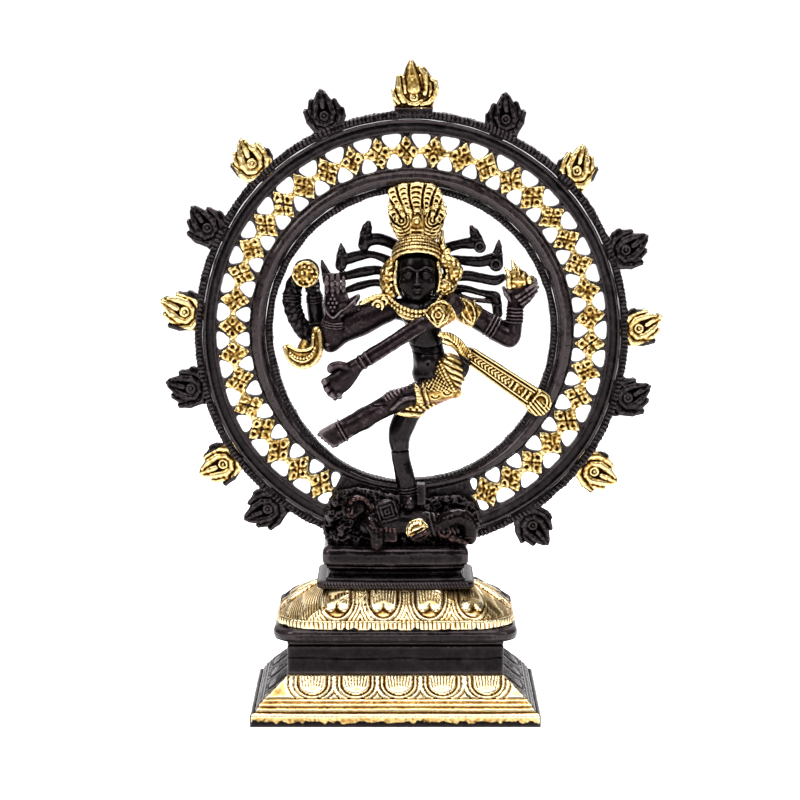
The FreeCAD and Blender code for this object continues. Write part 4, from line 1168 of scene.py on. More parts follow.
# ---------------------------------------------------------------- figure: shared shapes

def flowing(joints, steps):
    """More joints, along a smooth curve through those given."""
    joints = np.asarray(joints, float)
    ends = np.vstack([2 * joints[0] - joints[1], joints, 2 * joints[-1] - joints[-2]])
    smooth = []
    for a, b, c, d in zip(ends, ends[1:], ends[2:], ends[3:]):
        for share in np.arange(steps) / steps:
            smooth.append(0.5 * (2 * b + (c - a) * share + (2 * a - 5 * b + 4 * c - d) * share ** 2
                                 + (3 * b - a - 3 * c + d) * share ** 3))
    return [tuple(joint) for joint in smooth] + [tuple(joints[-1])]


def strand(clay, joints, blend, flat=1.0, steps=4):
    """Add a smooth strand: joints are (x, y, z, radius)."""
    return limb(clay, flowing(joints, steps), blend, flat)


def beads(clay, points, size, pitch):
    """Add a row of beads along a path of (x, y, z) points."""
    points = np.asarray(points, float)[:, :3]
    gaps = np.linalg.norm(np.diff(points, axis=0), axis=1)
    along = np.concatenate([[0], np.cumsum(gaps)])
    for place in np.arange(pitch / 2, along[-1], pitch):
        centre = [np.interp(place, along, points[:, axis]) for axis in range(3)]
        clay.add(egg(centre, (size, size, size)), 0.12)
    return clay


def around(centre, axis, radius, count):
    """Points on a circle round an axis, from its front."""
    axis = unit(axis)
    front = unit(np.array([0, -1, 0]) - axis * -axis[1]) if abs(axis[1]) < 0.95 else np.array([0, 0, 1.0])
    side = np.cross(axis, front)
    turns = np.radians(360.0 * np.arange(count + 1) / count)
    return [np.asarray(centre) + radius * (math.cos(t) * front + math.sin(t) * side) for t in turns]


def along_line(points, start, end):
    """How far along a line each point is, in millimetres, and how far it is from the line."""
    start, way = np.asarray(start, float), unit(np.subtract(end, start))
    along = (points - start) @ way
    return along, np.linalg.norm(points - start - along[:, None] * way, axis=1)


def rings(points, start, end, reach, places, height, width):
    """The height of ridges round a limb, at places along its line. Below 0 they are grooves."""
    along, off = along_line(points, start, end)
    total = sum(pulse(along - place, width) for place in places)
    return height * total * (off < reach)


def front_share(points, normals):
    """Gilt where a surface faces the front."""
    return smooth_step(-0.1, 0.3, -normals[:, 1] + 0.35 * np.maximum(normals[:, 2], 0))


def leaf(clay, centre, way, length, width, depth):
    """A raised leaf that lies flat to the front: a rim, a midrib and slanted veins."""
    centre, way = np.asarray(centre, float), unit((way[0], 0, way[1]))
    side = np.array([way[2], 0, -way[0]])
    turn = np.array([way, side, (0, 1, 0)])
    clay.add(egg(centre, (length / 2, width / 2, depth), turn), 0.4)
    lift = np.array([0, -depth * 0.75, 0])
    for hand in (-1, 1):
        rim = [centre + lift * 0.7 + way * length * 0.46 * a + side * hand * width * 0.42 * b
               for a, b in ((-1, 0), (-0.5, 0.85), (0.1, 1.0), (0.6, 0.7), (1, 0))]
        strand(clay, [(*spot, 0.42) for spot in rim], 0.15, steps=2)
        for place in (-0.5, -0.15, 0.2, 0.5):
            root = centre + lift + way * length * 0.42 * place
            tip = root + (way * 0.12 * length + side * hand * width * 0.3) + np.array([0, 0.3, 0])
            clay.add(bone(root, tip, 0.32, 0.22), 0.1)
    clay.add(bone(centre + lift - way * length * 0.36, centre + lift + way * length * 0.36, 0.4, 0.3), 0.15)
    return clay


# ---------------------------------------------------------------- figure: body and head

def torso():
    clay = Clay(0.38)
    limb(clay, [(10, -5, 147.5, 7.0), (10.8, -5, 139.5, 5.8), (12.3, -5, 132.5, 5.5), (12.6, -5.2, 126, 6.4)],
         2.0, 0.85)
    limb(clay, [(-1.5, -4.4, 149.8, 3.7), (10, -4.7, 149.6, 4.9), (21, -4.4, 151, 3.9)], 2.2)
    for x in (6.1, 13.9):
        clay.add(egg((x, -8.7, 147.4), (3.7, 2.5, 2.9)), 1.2)
        clay.add(egg((x + (x - 10) * 0.15, -0.9, 147.6), (3.2, 1.9, 4.2)), 1.3)
    for x in (9.6, 15.8):
        clay.add(egg((x, -1.6, 125.5), (3.6, 3.2, 4.0)), 1.2)
    clay.add(egg((11.9, -8.2, 131.2), (3.9, 2.7, 3.9)), 1.8)
    clay.cut(egg((11.8, -11.2, 130.4), (0.5, 0.9, 0.6)), 0.4)
    clay.cut(bone((10.2, 0.9, 148), (12.2, 0.4, 131), 0.9, 0.8), 1.2)
    skin = clay.skin()

    def height(points, normals):
        front = smooth_step(0.2, 0.6, -normals[:, 1])
        fold = pulse(points[:, 2] - 136.2 - 0.03 * (points[:, 0] - 11) ** 2, 0.35)
        fold = fold + 0.7 * pulse(points[:, 2] - 133.9 - 0.02 * (points[:, 0] - 12) ** 2, 0.35)
        breast = pulse(points[:, 0] - 10, 0.5) * smooth_step(141, 144, points[:, 2])
        return -0.22 * front * (fold + breast) + cast(points, fine=0.03, broad=0.12, seed=401)
    dark_piece("torso", skin.relief(height))


def head():
    """A calm, plain face: three equal thirds, and eyes one eye's width apart."""
    middle, y = 7.9, -6.3
    clay = Clay(0.26)
    clay.add(egg((middle, y, 163.8), (7.5, 7.0, 9.6)))
    clay.add(egg((middle, -9.2, 158.0), (5.6, 4.2, 4.6)), 1.8)
    clay.add(egg((middle, -11.9, 155.3), (1.9, 1.5, 1.4)), 1.0)
    limb(clay, [(9.3, -5, 150, 4.5), (8.2, -5.6, 158, 4.6)], 1.2)
    for hand in (-1, 1):
        x = middle + hand * 2.9
        clay.cut(egg((x, -14.1, 163.3), (2.1, 1.7, 1.3)), 1.0)
        clay.add(egg((x, -12.0, 163.2), (1.6, 1.3, 0.95)), 0.25)
        lid = [(x - 1.8, -12.2, 163.3, 0.2), (x, -13.25, 164.1, 0.26), (x + 1.8, -12.2, 163.3, 0.2)]
        strand(clay, lid, 0.2)
        lid = [(x - 1.7, -12.2, 163.1, 0.14), (x, -12.95, 162.3, 0.18), (x + 1.7, -12.2, 163.1, 0.14)]
        strand(clay, lid, 0.2)
        brow = [(middle + hand * 0.9, -13.5, 165.0, 0.3), (middle + hand * 3.2, -12.9, 166.1, 0.36),
                (middle + hand * 5.4, -11.0, 165.0, 0.22)]
        strand(clay, brow, 0.5)
        clay.add(egg((middle + hand * 3.9, -10.9, 160.2), (2.6, 1.9, 2.7)), 1.6)
        clay.add(egg((middle + hand * 0.95, -14.2, 160.0), (0.6, 0.75, 0.5)), 0.4)
        ear = [(middle + hand * 6.9, -6.4, 165.6, 0.8), (middle + hand * 8.0, -5.8, 164.6, 0.75),
               (middle + hand * 8.0, -6.0, 161.6, 0.7), (middle + hand * 7.4, -7.0, 158.2, 0.8),
               (middle + hand * 7.2, -7.4, 155.6, 0.9)]
        strand(clay, ear, 0.5)
    clay.add(bone((middle, -13.3, 164.6), (middle, -14.75, 160.4), 0.5, 0.85), 0.6)
    strand(clay, [(6.2, -12.9, 157.8, 0.22), (7.1, -13.7, 158.15, 0.36), (7.9, -13.75, 157.95, 0.34),
                  (8.7, -13.7, 158.15, 0.36), (9.6, -12.9, 157.8, 0.22)], 0.3)
    strand(clay, [(6.6, -12.9, 157.4, 0.2), (7.9, -13.7, 157.0, 0.45), (9.2, -12.9, 157.4, 0.2)], 0.25)
    skin = clay.skin()

    def height(points, normals):
        x, y, z = points.T
        turn = np.arctan2(x - middle, y + 6.3)
        hair = np.abs(np.sin(turn * 13 + 1.6 * np.sin(z * 0.5))) - 0.5
        behind = smooth_step(-4.5, -2.5, y) * smooth_step(155.5, 157.5, z)
        neck = pulse(z - 154.1, 0.25) + pulse(z - 152.4, 0.25)
        return 0.4 * hair * behind - 0.2 * neck * (np.abs(normals[:, 2]) < 0.5)
    dark_piece("head", skin.relief(height))


def necklace():
    clay = Clay(0.3)
    main = [(-3.2, -7.5, 154.8), (-1.0, -9.8, 152.6), (2.0, -11.6, 150.8), (5.6, -12.5, 149.5),
            (9.4, -12.7, 149.1), (13.0, -12.0, 150.4), (15.4, -10.2, 152.8), (17.0, -7.6, 155.4)]
    rear = [(17.0, -7.6, 155.4), (15.2, -1.8, 156.8), (9.0, 0.6, 157.4), (2.0, -0.8, 156.8),
            (-3.2, -7.5, 154.8)]
    for path, size in ((main, 0.7), (rear, 0.9)):
        strand(clay, [(*spot, size) for spot in path], 0.2)
    for drop in (0.9, -0.9):
        row = flowing([(x, y - 0.4, z + drop) for x, y, z in main], 6)
        beads(clay, row, 0.76, 1.45)
    beads(clay, flowing([(x, y + (0.5 if y > -5 else 0), z) for x, y, z in rear], 6), 0.62, 1.3)
    low = [(-2.0, -8.4, 152.7, 0.55), (1.6, -11.4, 148.9, 0.62), (5.2, -12.3, 147.3, 0.62),
           (9.6, -12.4, 146.8, 0.62), (12.4, -12.2, 147.6, 0.6)]
    strand(clay, low, 0.15)
    cord = [(-3.0, -8.4, 154.9, 1.1), (-7.6, -9.0, 154.6, 1.0), (-12.4, -9.8, 152.6, 0.9)]
    strand(clay, cord, 0.3)
    beads(clay, flowing([(x, y - 0.7, z + 0.3) for x, y, z, _ in cord], 5), 0.42, 1.0)
    for centre, size in (((-6.4, -9.6, 151.6), 1.9), ((-4.2, -9.4, 153.2), 1.2)):
        clay.add(hoop(centre, (0.2, 1, 0.2), size, 0.55), 0.3)
    clay.add(egg((-6.4, -9.4, 151.6), (1.0, 0.8, 1.0)), 0.2)
    clay.add(egg((12.2, -12.4, 148.6), (1.4, 1.2, 1.4)), 0.4)
    skin = clay.skin().roughen(0.1, 0.1, 411)
    brass_piece("necklace", skin.gild(front_share))


def diadem():
    """Beaded bands that lean back round the skull cap, and the knot of ribbon beside them."""
    clay = Clay(0.32)
    middle, axis = np.array([7.8, -6.1, 169.6]), unit((0, 0.5, 0.866))
    clay.add(egg((7.8, -4.4, 171.0), (7.0, 6.0, 6.2)), 0.4)
    for rise, radius, tube in ((-1.7, 8.1, 0.7), (-0.5, 8.35, 0.8), (0.8, 8.2, 0.9), (2.3, 7.8, 0.8),
                               (3.6, 7.0, 0.9)):
        clay.add(hoop(middle + rise * axis, axis, radius, tube), 0.25)
    for rise, radius, size, count in ((-0.5, 8.95, 0.5, 60), (0.8, 8.9, 0.45, 60), (2.2, 8.5, 0.5, 56),
                                      (3.6, 7.8, 0.45, 50)):
        beads(clay, around(middle + rise * axis, axis, radius, 60), size, 2 * math.pi * radius / count)
    for place, size in (((17.3, -8.0, 173.0), 1.4), ((18.6, -8.2, 171.2), 1.6), ((18.9, -8.4, 169.2), 1.5),
                        ((17.5, -8.6, 168.0), 1.2)):
        clay.add(egg(place, (size, size * 0.9, size * 0.85)), 0.2)
    strand(clay, [(17.4, -7.4, 173.6, 0.75), (17.0, -6.8, 176.2, 0.65), (17.1, -6.4, 178.6, 0.5)], 0.2)
    strand(clay, [(16.2, -7.2, 173.4, 0.6), (15.7, -6.6, 175.8, 0.55), (15.6, -6.2, 178.0, 0.4)], 0.2)
    skin = clay.skin()

    def height(points, normals):
        turn = np.arctan2(points[:, 0] - 7.8, points[:, 1] + 6)
        ribs = np.abs(np.sin(turn * 9)) * smooth_step(172.5, 174.0, points[:, 2] + 0.5 * points[:, 1] + 3)
        return 0.1 * ribs + cast(points, fine=0.12, broad=0.08, seed=421)
    skin.relief(height)
    brass_piece("diadem", skin.gild(front_share))


def crown_feathers(points, normals):
    """The height of ribbed feathers that fan out from the foot of the crown."""
    x, _, z = points.T
    out_x, out_z = x - 7.8, z - 171.5
    angle = np.degrees(np.arctan2(out_x, out_z)) + 1.2 * np.sin(out_z * 0.4)
    radius = np.hypot(out_x, out_z)
    edges = np.array([-40.0, -27, -17.5, -7, 7, 17.5, 27, 40])
    place = np.clip(np.searchsorted(edges, angle) - 1, 0, len(edges) - 2)
    low, high = edges[place], edges[place + 1]
    share = 2 * (angle - low) / (high - low) - 1
    gap = np.minimum(np.abs(angle - low), np.abs(angle - high)) * np.radians(1) * radius
    ribs = np.abs(np.cos(math.pi * (radius + 0.9 * share ** 2) / 1.85)) ** 1.3
    feather = 0.55 * ribs * smooth_step(0.5, 0.9, gap) + 0.5 * pulse(gap - 0.62, 0.3)
    feather = feather - 0.75 * pulse(gap, 0.3) + 0.35 * (1 - share ** 2)
    upper = smooth_step(184.6, 185.8, z + 0.06 * (x - 7.8) ** 2)
    swirl = np.hypot(np.abs(x - 7.8) - 5.8, z - 182.6)
    ripples = 0.2 * np.sin(swirl * 5.2) * smooth_step(2.2, 3.4, np.abs(x - 7.8)) * (1 - upper)
    return (feather * upper + ripples) * smooth_step(0.35, 0.75, -normals[:, 1])


def crown_fan():
    clay = Clay(0.33)
    outline = [(1.2, 175.2), (-1.6, 180.2), (-2.6, 184.2), (-2.3, 188.6), (-2.4, 193.6), (2.2, 195.6),
               (7.8, 196.4), (13.6, 195.4), (16.4, 193.4), (17.4, 188.4), (18.6, 184.4), (16.6, 178.8),
               (14.4, 175.2)]
    clay.add(plate(outline, -3.2, -6.6, 0.5))
    clay.add(egg((7.9, -5.4, 181.4), (9.2, 3.9, 5.8)), 0.9)
    clay.add(egg((7.8, -5.2, 177.6), (7.4, 4.0, 4.6)), 0.9)
    for x in (5.6, 9.8):
        clay.add(bone((x, -8.8, 176.2), (x - 0.1, -8.6, 186.4), 0.55, 0.5), 0.2)
    for z in (177.4, 179.2):
        clay.add(bone((5.8, -8.9, z), (9.6, -8.9, z), 0.55, 0.55), 0.15)
    clay.add(hoop((7.7, -8.9, 182.2), (0, 1, 0), 1.35, 0.42), 0.1)
    clay.add(egg((7.7, -9.1, 182.2), (0.85, 0.8, 0.85)), 0.1)
    for x, z in ((5.9, 185), (7.8, 185.6), (9.7, 185)):
        clay.add(hoop((x, -8.2, z), (0, 1, 0), 0.85, 0.35), 0.1)
    for centre, hand in ((2.0, -1), (13.6, 1)):
        spiral = [(centre + hand * r * math.cos(t) * 1.0, -8.4 + 0.25 * r, 182.8 + r * math.sin(t), 0.45)
                  for t, r in ((5.6, 3.3), (4.7, 2.9), (3.9, 2.7), (3.1, 2.5), (2.3, 2.3), (1.5, 2.1),
                               (0.7, 1.8), (-0.1, 1.6), (-0.9, 1.3), (-1.8, 1.0), (-2.7, 0.7), (-3.6, 0.3))]
        limb(clay, spiral, 0.15)
        for step in range(3):
            start = (centre + hand * (2.9 - 1.2 * step), -8.0 - 0.3 * step, 181.2 - 0.6 * step)
            end = (centre - hand * (0.3 + 0.7 * step), -8.4, 176.8 + 0.2 * step)
            strand(clay, [(*start, 0.45), ((start[0] + end[0]) / 2 + hand * 0.5, -9.0, 179.2, 0.5),
                          (*end, 0.4)], 0.15)
        beads(clay, [(centre + hand * 4.1, -6.8, 182.0), (centre + hand * 2.6, -7.6, 178.6),
                     (centre + hand * 0.6, -8.2, 176.4)], 0.5, 1.1)
        strand(clay, [(centre - hand * 2.6, -8.6, 186.2, 0.5), (centre + hand * 0.8, -7.4, 187.6, 0.55),
                      (centre + hand * 4.2, -6.6, 187.2, 0.4)], 0.2)
    skin = clay.skin()
    skin.relief(crown_feathers).roughen(0.1, 0.12, 431)
    brass_piece("crown_fan", skin.gild(front_share))


def left_hair_lock():
    clay = Clay(0.3)
    strand(clay, [(-1.0, -6.0, 167.6, 1.7), (-2.6, -6.2, 163.4, 2.6), (-2.7, -6.4, 159.0, 2.7),
                  (-1.4, -6.8, 155.4, 2.3)], 0.8)
    strand(clay, [(0.6, -8.8, 167.6, 0.5), (0.0, -9.6, 163.0, 0.62), (0.2, -9.8, 159.0, 0.62),
                  (1.4, -9.8, 155.6, 0.5)], 0.2)
    for step in range(5):
        z = 165.2 - 2.3 * step
        clay.add(bone((-4.6, -7.6, z - 1.0), (-1.4, -9.2, z + 0.7), 0.62, 0.55), 0.2)
        clay.add(egg((-3.2, -9.0, z - 1.2), (0.7, 0.6, 0.7)), 0.15)
    beads(clay, [(-4.9, -6.6, 165), (-5.3, -6.8, 161), (-4.9, -7.0, 157), (-3.6, -7.4, 154.4)], 0.62, 1.3)
    skin = clay.skin().roughen(0.22, 0.15, 441)
    brass_piece("hair_lock_left", skin.gild(front_share))


def right_hair_lock():
    """The lock beside the left cheek, with a rosette and an ear ring over it."""
    clay = Clay(0.3)
    strand(clay, [(17.0, -6, 168.0, 1.9), (20.6, -5.6, 165.2, 3.0), (19.9, -5.8, 160.4, 2.6),
                  (18.6, -6.6, 156.4, 2.0)], 0.8)
    strand(clay, [(15.3, -8.9, 167.4, 0.5), (16.2, -9.4, 163.4, 0.7), (16.0, -9.6, 159.6, 0.65),
                  (15.2, -9.6, 156.6, 0.5)], 0.2)
    clay.add(egg((21.3, -6.6, 163.9), (3.3, 2.6, 3.9)), 0.3)
    for count, radius in ((9, 2.6), (5, 1.2)):
        for spot in around((21.2, -8.6, 164.0), (0, 1, 0), radius, count)[:-1]:
            clay.add(egg(spot + (0, 0.16 * radius, 0), (0.62, 0.7, 0.85)), 0.15)
    clay.add(egg((17.8, -8.8, 159.0), (2.5, 1.6, 2.6)), 0.3)
    for spot in around((17.8, -9.9, 159.0), (0, 1, 0), 1.6, 6)[:-1]:
        clay.add(hoop(spot, (0, 1, 0), 0.62, 0.3), 0.1)
    clay.add(bone((18.6, -8.8, 162.0), (20.6, -8.4, 158.6), 0.8, 0.7), 0.2)
    clay.add(bone((20.0, -7.6, 157.6), (22.6, -6.8, 161.0), 0.8, 0.8), 0.3)
    skin = clay.skin().roughen(0.2, 0.12, 442)
    brass_piece("hair_lock_right", skin.gild(front_share))


# ---------------------------------------------------------------- figure: arms

def finger(clay, base, middle, tip, thick, blend=0.25):
    """One finger, with a knuckle where its two bones meet."""
    clay.add(bone(base, middle, thick, thick * 0.92), blend)
    clay.add(bone(middle, tip, thick * 0.92, thick * 0.7), blend)
    clay.add(egg(middle, (thick * 1.03,) * 3), 0.3)


def front_right_arm():
    """The arm that is raised with its palm to the front."""
    clay = Clay(0.3)
    strand(clay, [(-1, -5.5, 150.4, 3.9), (-6.5, -6.4, 148.6, 4.4), (-13, -7.6, 146.0, 5.2),
                  (-19.5, -9.0, 143.0, 4.7)], 1.4, 0.85)
    clay.add(bone((-20.5, -9.4, 141.8), (-23.6, -9.8, 137.6), 4.5, 3.2, 0.8), 1.2)
    strand(clay, [(-22.6, -9.9, 139.6, 3.8), (-22.8, -11.2, 144.0, 3.3), (-22.8, -12.2, 147.4, 2.7)], 1.4,
           0.85)
    palm = [(-25.7, 156.8), (-25.8, 150.2), (-24.9, 146.6), (-21.2, 146.2), (-17.6, 149.2), (-14.2, 152.4),
            (-12.6, 154.8), (-13.2, 156.4), (-14.8, 155.8), (-16.8, 154.6), (-17.4, 156.8)]
    clay.add(plate(palm, -11.0, -14.0, 0.9), 0.5)
    clay.add(egg((-18.4, -13.4, 151.4), (2.6, 1.5, 1.9)), 0.7)
    for base, tip, high, thick in ((-24.8, -24.8, 163.0, 0.95), (-22.8, -22.8, 164.2, 0.98),
                                   (-20.8, -20.7, 164.0, 0.98), (-18.8, -18.7, 163.0, 0.93)):
        middle = ((base + tip) / 2, -13.3, 160.2)
        finger(clay, (base, -13.0, 156.6), middle, (tip, -13.1, high - thick * 0.7), thick)
    finger(clay, (-17.4, -13.3, 151.0), (-15.0, -13.6, 153.4), (-13.4, -13.4, 155.6), 1.15)
    border = [(-25.4, -14.2, 156.0), (-25.6, -14.5, 151.6), (-22.7, -14.8, 147.9), (-19.8, -14.6, 150.2),
              (-16.9, -14.5, 152.2), (-14.0, -14.4, 155.0)]
    strand(clay, [(*spot, 0.42) for spot in border], 0.2)
    for row, count in ((156.0, 1), (154.7, 2), (153.2, 3), (151.7, 2), (150.3, 1)):
        for step in range(count):
            clay.add(egg((-22.7 + 1.45 * (step - (count - 1) / 2), -14.5, row), (0.55, 0.55, 0.6)), 0.12)
    strand(clay, [(-20.6, -13.2, 147.8, 0.7), (-19.2, -12.6, 144.6, 0.7), (-14.4, -11.4, 147.0, 0.6),
                  (-9.6, -10.2, 149.6, 0.5)], 0.5)
    strand(clay, [(-24.6, -12.4, 138.0, 0.7), (-18.0, -11.2, 140.2, 0.6), (-9.0, -9.8, 144.0, 0.5)], 0.6)
    for spot in around((-13.4, -10.8, 148.8), (0.1, 1, 0.3), 1.5, 6)[:-1]:
        clay.add(egg(spot, (0.55, 0.5, 0.6)), 0.12)
    clay.add(egg((-13.4, -11.1, 148.8), (0.8, 0.7, 0.8)), 0.12)
    skin = clay.skin()

    def height(points, normals):
        bands = rings(points, (-23.4, -10.3, 141.5), (-22.3, -12.4, 149), 4.2, (3.6, 4.5, 5.4), 0.28, 0.26)
        upper = rings(points, (-1, -5.5, 150.4), (-25, -9.5, 139.4), 4.4, (8.8, 10.2, 14.6, 15.8), 0.28, 0.3)
        return bands + upper + cast(points, fine=0.05, broad=0.12, seed=501)
    dark_piece("front_right_arm", skin.relief(height), BROWN)


def rear_right_arm():
    clay = Clay(0.34)
    strand(clay, [(-2, -1, 149.4, 3.2), (-14, 1, 144.8, 3.0), (-25.5, 1.2, 141.2, 2.9)], 1.2)
    clay.add(egg((-28.0, 1.0, 141.6), (3.2, 3.0, 3.6)), 1.0)
    strand(clay, [(-28.4, 0.9, 142.0, 3.0), (-29.4, -0.5, 150, 2.7), (-29.8, -1.3, 155.4, 2.4)], 1.2)
    clay.add(egg((-30.4, -2.0, 158.2), (2.9, 2.4, 3.2)), 0.8)
    for step in range(4):
        z = 156.6 + 1.75 * step
        finger(clay, (-28.6, -2.6, z), (-29.4, -5.2, z + 0.3), (-32.4, -6.6, z + 0.1), 0.85)
    finger(clay, (-31.8, -1.0, 160.4), (-34.2, -0.2, 162.4), (-36.4, -1.0, 161.6), 0.9)
    skin = clay.skin()

    def height(points, normals):
        bands = rings(points, (-28.4, 0.9, 142.0), (-29.4, -0.5, 150), 4.4, (0.6, 1.8, 3.0), 0.4, 0.4)
        wrist = rings(points, (-29.4, -0.5, 150), (-29.8, -1.3, 155.4), 4.0, (2.4, 3.4, 4.4), 0.3, 0.3)
        return bands + wrist + cast(points, fine=0.05, broad=0.14, seed=511)
    dark_piece("rear_right_arm", skin.relief(height))


def front_left_arm():
    """The long arm that crosses the chest, its hand hanging with bent fingers."""
    clay = Clay(0.3)
    clay.add(egg((20.9, -7.8, 151.6), (3.4, 3.5, 4.3)))
    limb(clay, [(21.3, -7.5, 151.3, 3.6), (17, -10.5, 148.9, 3.4), (8.9, -12.6, 144.9, 2.9),
                (-12.6, -15, 131.4, 2.75)], 1.0)
    clay.add(bone((9.8, -14.2, 147.2), (-11.6, -16.6, 134.0), 0.75, 0.75), 0.5)
    clay.add(bone((10.4, -14.4, 143.6), (-10.6, -16.8, 130.4), 0.6, 0.6), 0.6)
    clay.add(egg((-15.2, -15.2, 129.8), (2.6, 2.4, 2.9)), 1.2)
    strand(clay, [(-14.6, -15.2, 129.8, 2.4), (-18.0, -15.0, 126.8, 3.7), (-20.6, -14.8, 124.2, 4.0)], 1.0,
           0.6)
    strand(clay, [(-16.6, -15.8, 129.6, 1.5), (-20.0, -16.4, 130.9, 1.35), (-22.9, -16.2, 130.2, 1.45),
                  (-23.6, -15.8, 128.8, 1.0)], 0.5)
    for base, knuckle, tip in (((-22.0, -15.0, 126.6), (-25.6, -15.4, 124.6), (-25.4, -13.6, 121.9)),
                               ((-21.4, -15.0, 124.6), (-24.6, -15.4, 121.9), (-23.9, -13.4, 119.6)),
                               ((-20.0, -15.0, 123.2), (-22.8, -15.4, 120.0), (-22.0, -13.4, 118.2)),
                               ((-18.6, -14.8, 123.0), (-20.6, -15.2, 120.4), (-20.2, -13.4, 118.8))):
        finger(clay, base, knuckle, tip, 1.4, 0.4)
    skin = clay.skin()

    def height(points, normals):
        bands = rings(points, (8.9, -12.6, 144.9), (-12.6, -15, 131.4), 4.4, (22.4, 24.9), 0.34, 0.3)
        bands = bands + rings(points, (8.9, -12.6, 144.9), (-12.6, -15, 131.4), 4.4, (23.6, 26.0), -0.25, 0.3)
        return bands + cast(points, fine=0.04, broad=0.18, seed=521)
    dark_piece("front_left_arm", skin.relief(height), BROWN)


def front_left_armlet():
    """The leaf-shaped ornament over the shoulder of the long arm."""
    clay = Clay(0.28)
    clay.add(bone((19.6, -8.8, 150.2), (15.6, -10.8, 147.7), 4.3, 4.1), 0.2)
    clay.cut(slab((20.9, -8.2, 151.0), (1.6, 9, 9), frame_along((4.0, 2.0, 2.5))), 0.3)
    clay.cut(slab((12.2, -12.6, 145.6), (1.4, 9, 9), frame_along((4.0, 2.0, 2.5))), 0.3)
    clay.add(egg((15.4, -13.2, 149.0), (3.9, 2.0, 4.0)), 0.5)
    for hand, tip in ((-1, (10.8, -13.0, 149.4)), (1, (19.6, -11.8, 151.6))):
        strand(clay, [(15.2, -14.6, 144.9, 0.55), (15.4 + hand * 3.2, -14.2, 147.6, 0.6), (*tip, 0.5)], 0.2)
        strand(clay, [(15.4 + hand * 0.9, -15.0, 146.6, 0.5), (15.4 + hand * 2.1, -14.8, 149.2, 0.55),
                      (15.4 + hand * 0.6, -14.6, 151.4, 0.5)], 0.15)
    strand(clay, [(10.8, -13.0, 149.6, 0.6), (13.8, -13.6, 152.6, 0.6), (17.6, -12.6, 153.4, 0.6),
                  (19.6, -11.6, 151.8, 0.5)], 0.2)
    clay.add(hoop((15.4, -15.0, 149.0), (0, 1, 0), 0.95, 0.36), 0.1)
    for z in (146.0, 147.0, 151.6):
        clay.add(bone((14.6, -14.9, z), (16.2, -14.9, z), 0.36, 0.36), 0.1)
    skin = clay.skin().roughen(0.14, 0.12, 522)
    brass_piece("front_left_armlet", skin.gild(front_share))


def rear_left_arm():
    """The arm that is bent up behind, with a cupped hand that carries the fire."""
    clay = Clay(0.3)
    strand(clay, [(22.5, -2, 150.2, 3.7), (31.0, -2.2, 145.8, 3.85), (40.2, -2.5, 140.0, 4.0)], 1.0)
    clay.add(egg((42.0, -2.6, 139.4), (3.6, 3.4, 4.1)), 1.2)
    strand(clay, [(42.8, -2.7, 140.4, 3.2), (43.6, -3.2, 146.0, 2.65), (43.8, -3.6, 151.4, 2.6)], 1.0)
    strand(clay, [(43.8, -3.8, 152.2, 2.7), (45.4, -4.2, 155.0, 3.6), (46.4, -4.2, 157.0, 4.0)], 0.8, 0.7)
    clay.add(bone((41.4, -5.2, 156.4), (50.6, -5.2, 160.4), 1.3, 1.2), 0.5)
    for base, tip, thick in (((46.0, -6.0, 152.0), (51.4, -6.2, 156.6), 0.85),
                             ((45.2, -6.6, 153.4), (51.8, -6.8, 158.2), 0.85),
                             ((44.2, -6.8, 154.6), (51.4, -7.0, 159.6), 0.8),
                             ((46.6, -4.6, 151.0), (50.6, -4.8, 155.0), 0.8)):
        middle = tuple((a + b) / 2 for a, b in zip(base, tip))
        finger(clay, base, middle, tip, thick)
    finger(clay, (42.2, -5.0, 153.0), (40.4, -5.6, 155.6), (39.4, -5.2, 157.8), 1.0)
    clay.add(bone((34.6, -5.4, 145.8), (41.0, -5.8, 142.2), 0.7, 0.7), 0.8)
    skin = clay.skin()

    def height(points, normals):
        bands = rings(points, (22.5, -2, 150.2), (40.2, -2.5, 140.0), 5.2, (13.4, 14.8, 16.2), 0.4, 0.35)
        bands = bands + rings(points, (22.5, -2, 150.2), (40.2, -2.5, 140.0), 5.2, (14.1, 15.5), -0.25, 0.3)
        wrist = rings(points, (43.6, -3.2, 144.0), (43.8, -3.6, 152), 4.2,
                      (1.2, 2.4, 3.7, 5.0, 6.3), 0.38, 0.3)
        return bands + wrist + cast(points, fine=0.05, broad=0.12, seed=531)
    dark_piece("rear_left_arm", skin.relief(height), BROWN)


def rear_left_armlet():
    clay = Clay(0.3)
    clay.add(bone((25.4, -2.1, 148.9), (28.6, -2.2, 147.2), 4.5, 4.4), 0.2)
    clay.cut(slab((22.0, -2, 150.8), (1.6, 9, 9), frame_along((3.4, 0, -1.8))), 0.3)
    clay.cut(slab((31.8, -2.2, 145.6), (1.5, 9, 9), frame_along((3.4, 0, -1.8))), 0.3)
    leaf(clay, (26.4, -6.4, 149.4), (0.42, -1), 10.5, 5.2, 1.1)
    for hand in (-1, 1):
        clay.add(bone((26.2 + hand * 2.6, -5.8, 153.6 - hand * 0.6),
                      (27.0 + hand * 2.0, -6.2, 145.2 + hand * 0.6), 0.45, 0.45), 0.2)
    skin = clay.skin().roughen(0.12, 0.12, 532)
    brass_piece("rear_left_armlet", skin.gild(front_share))


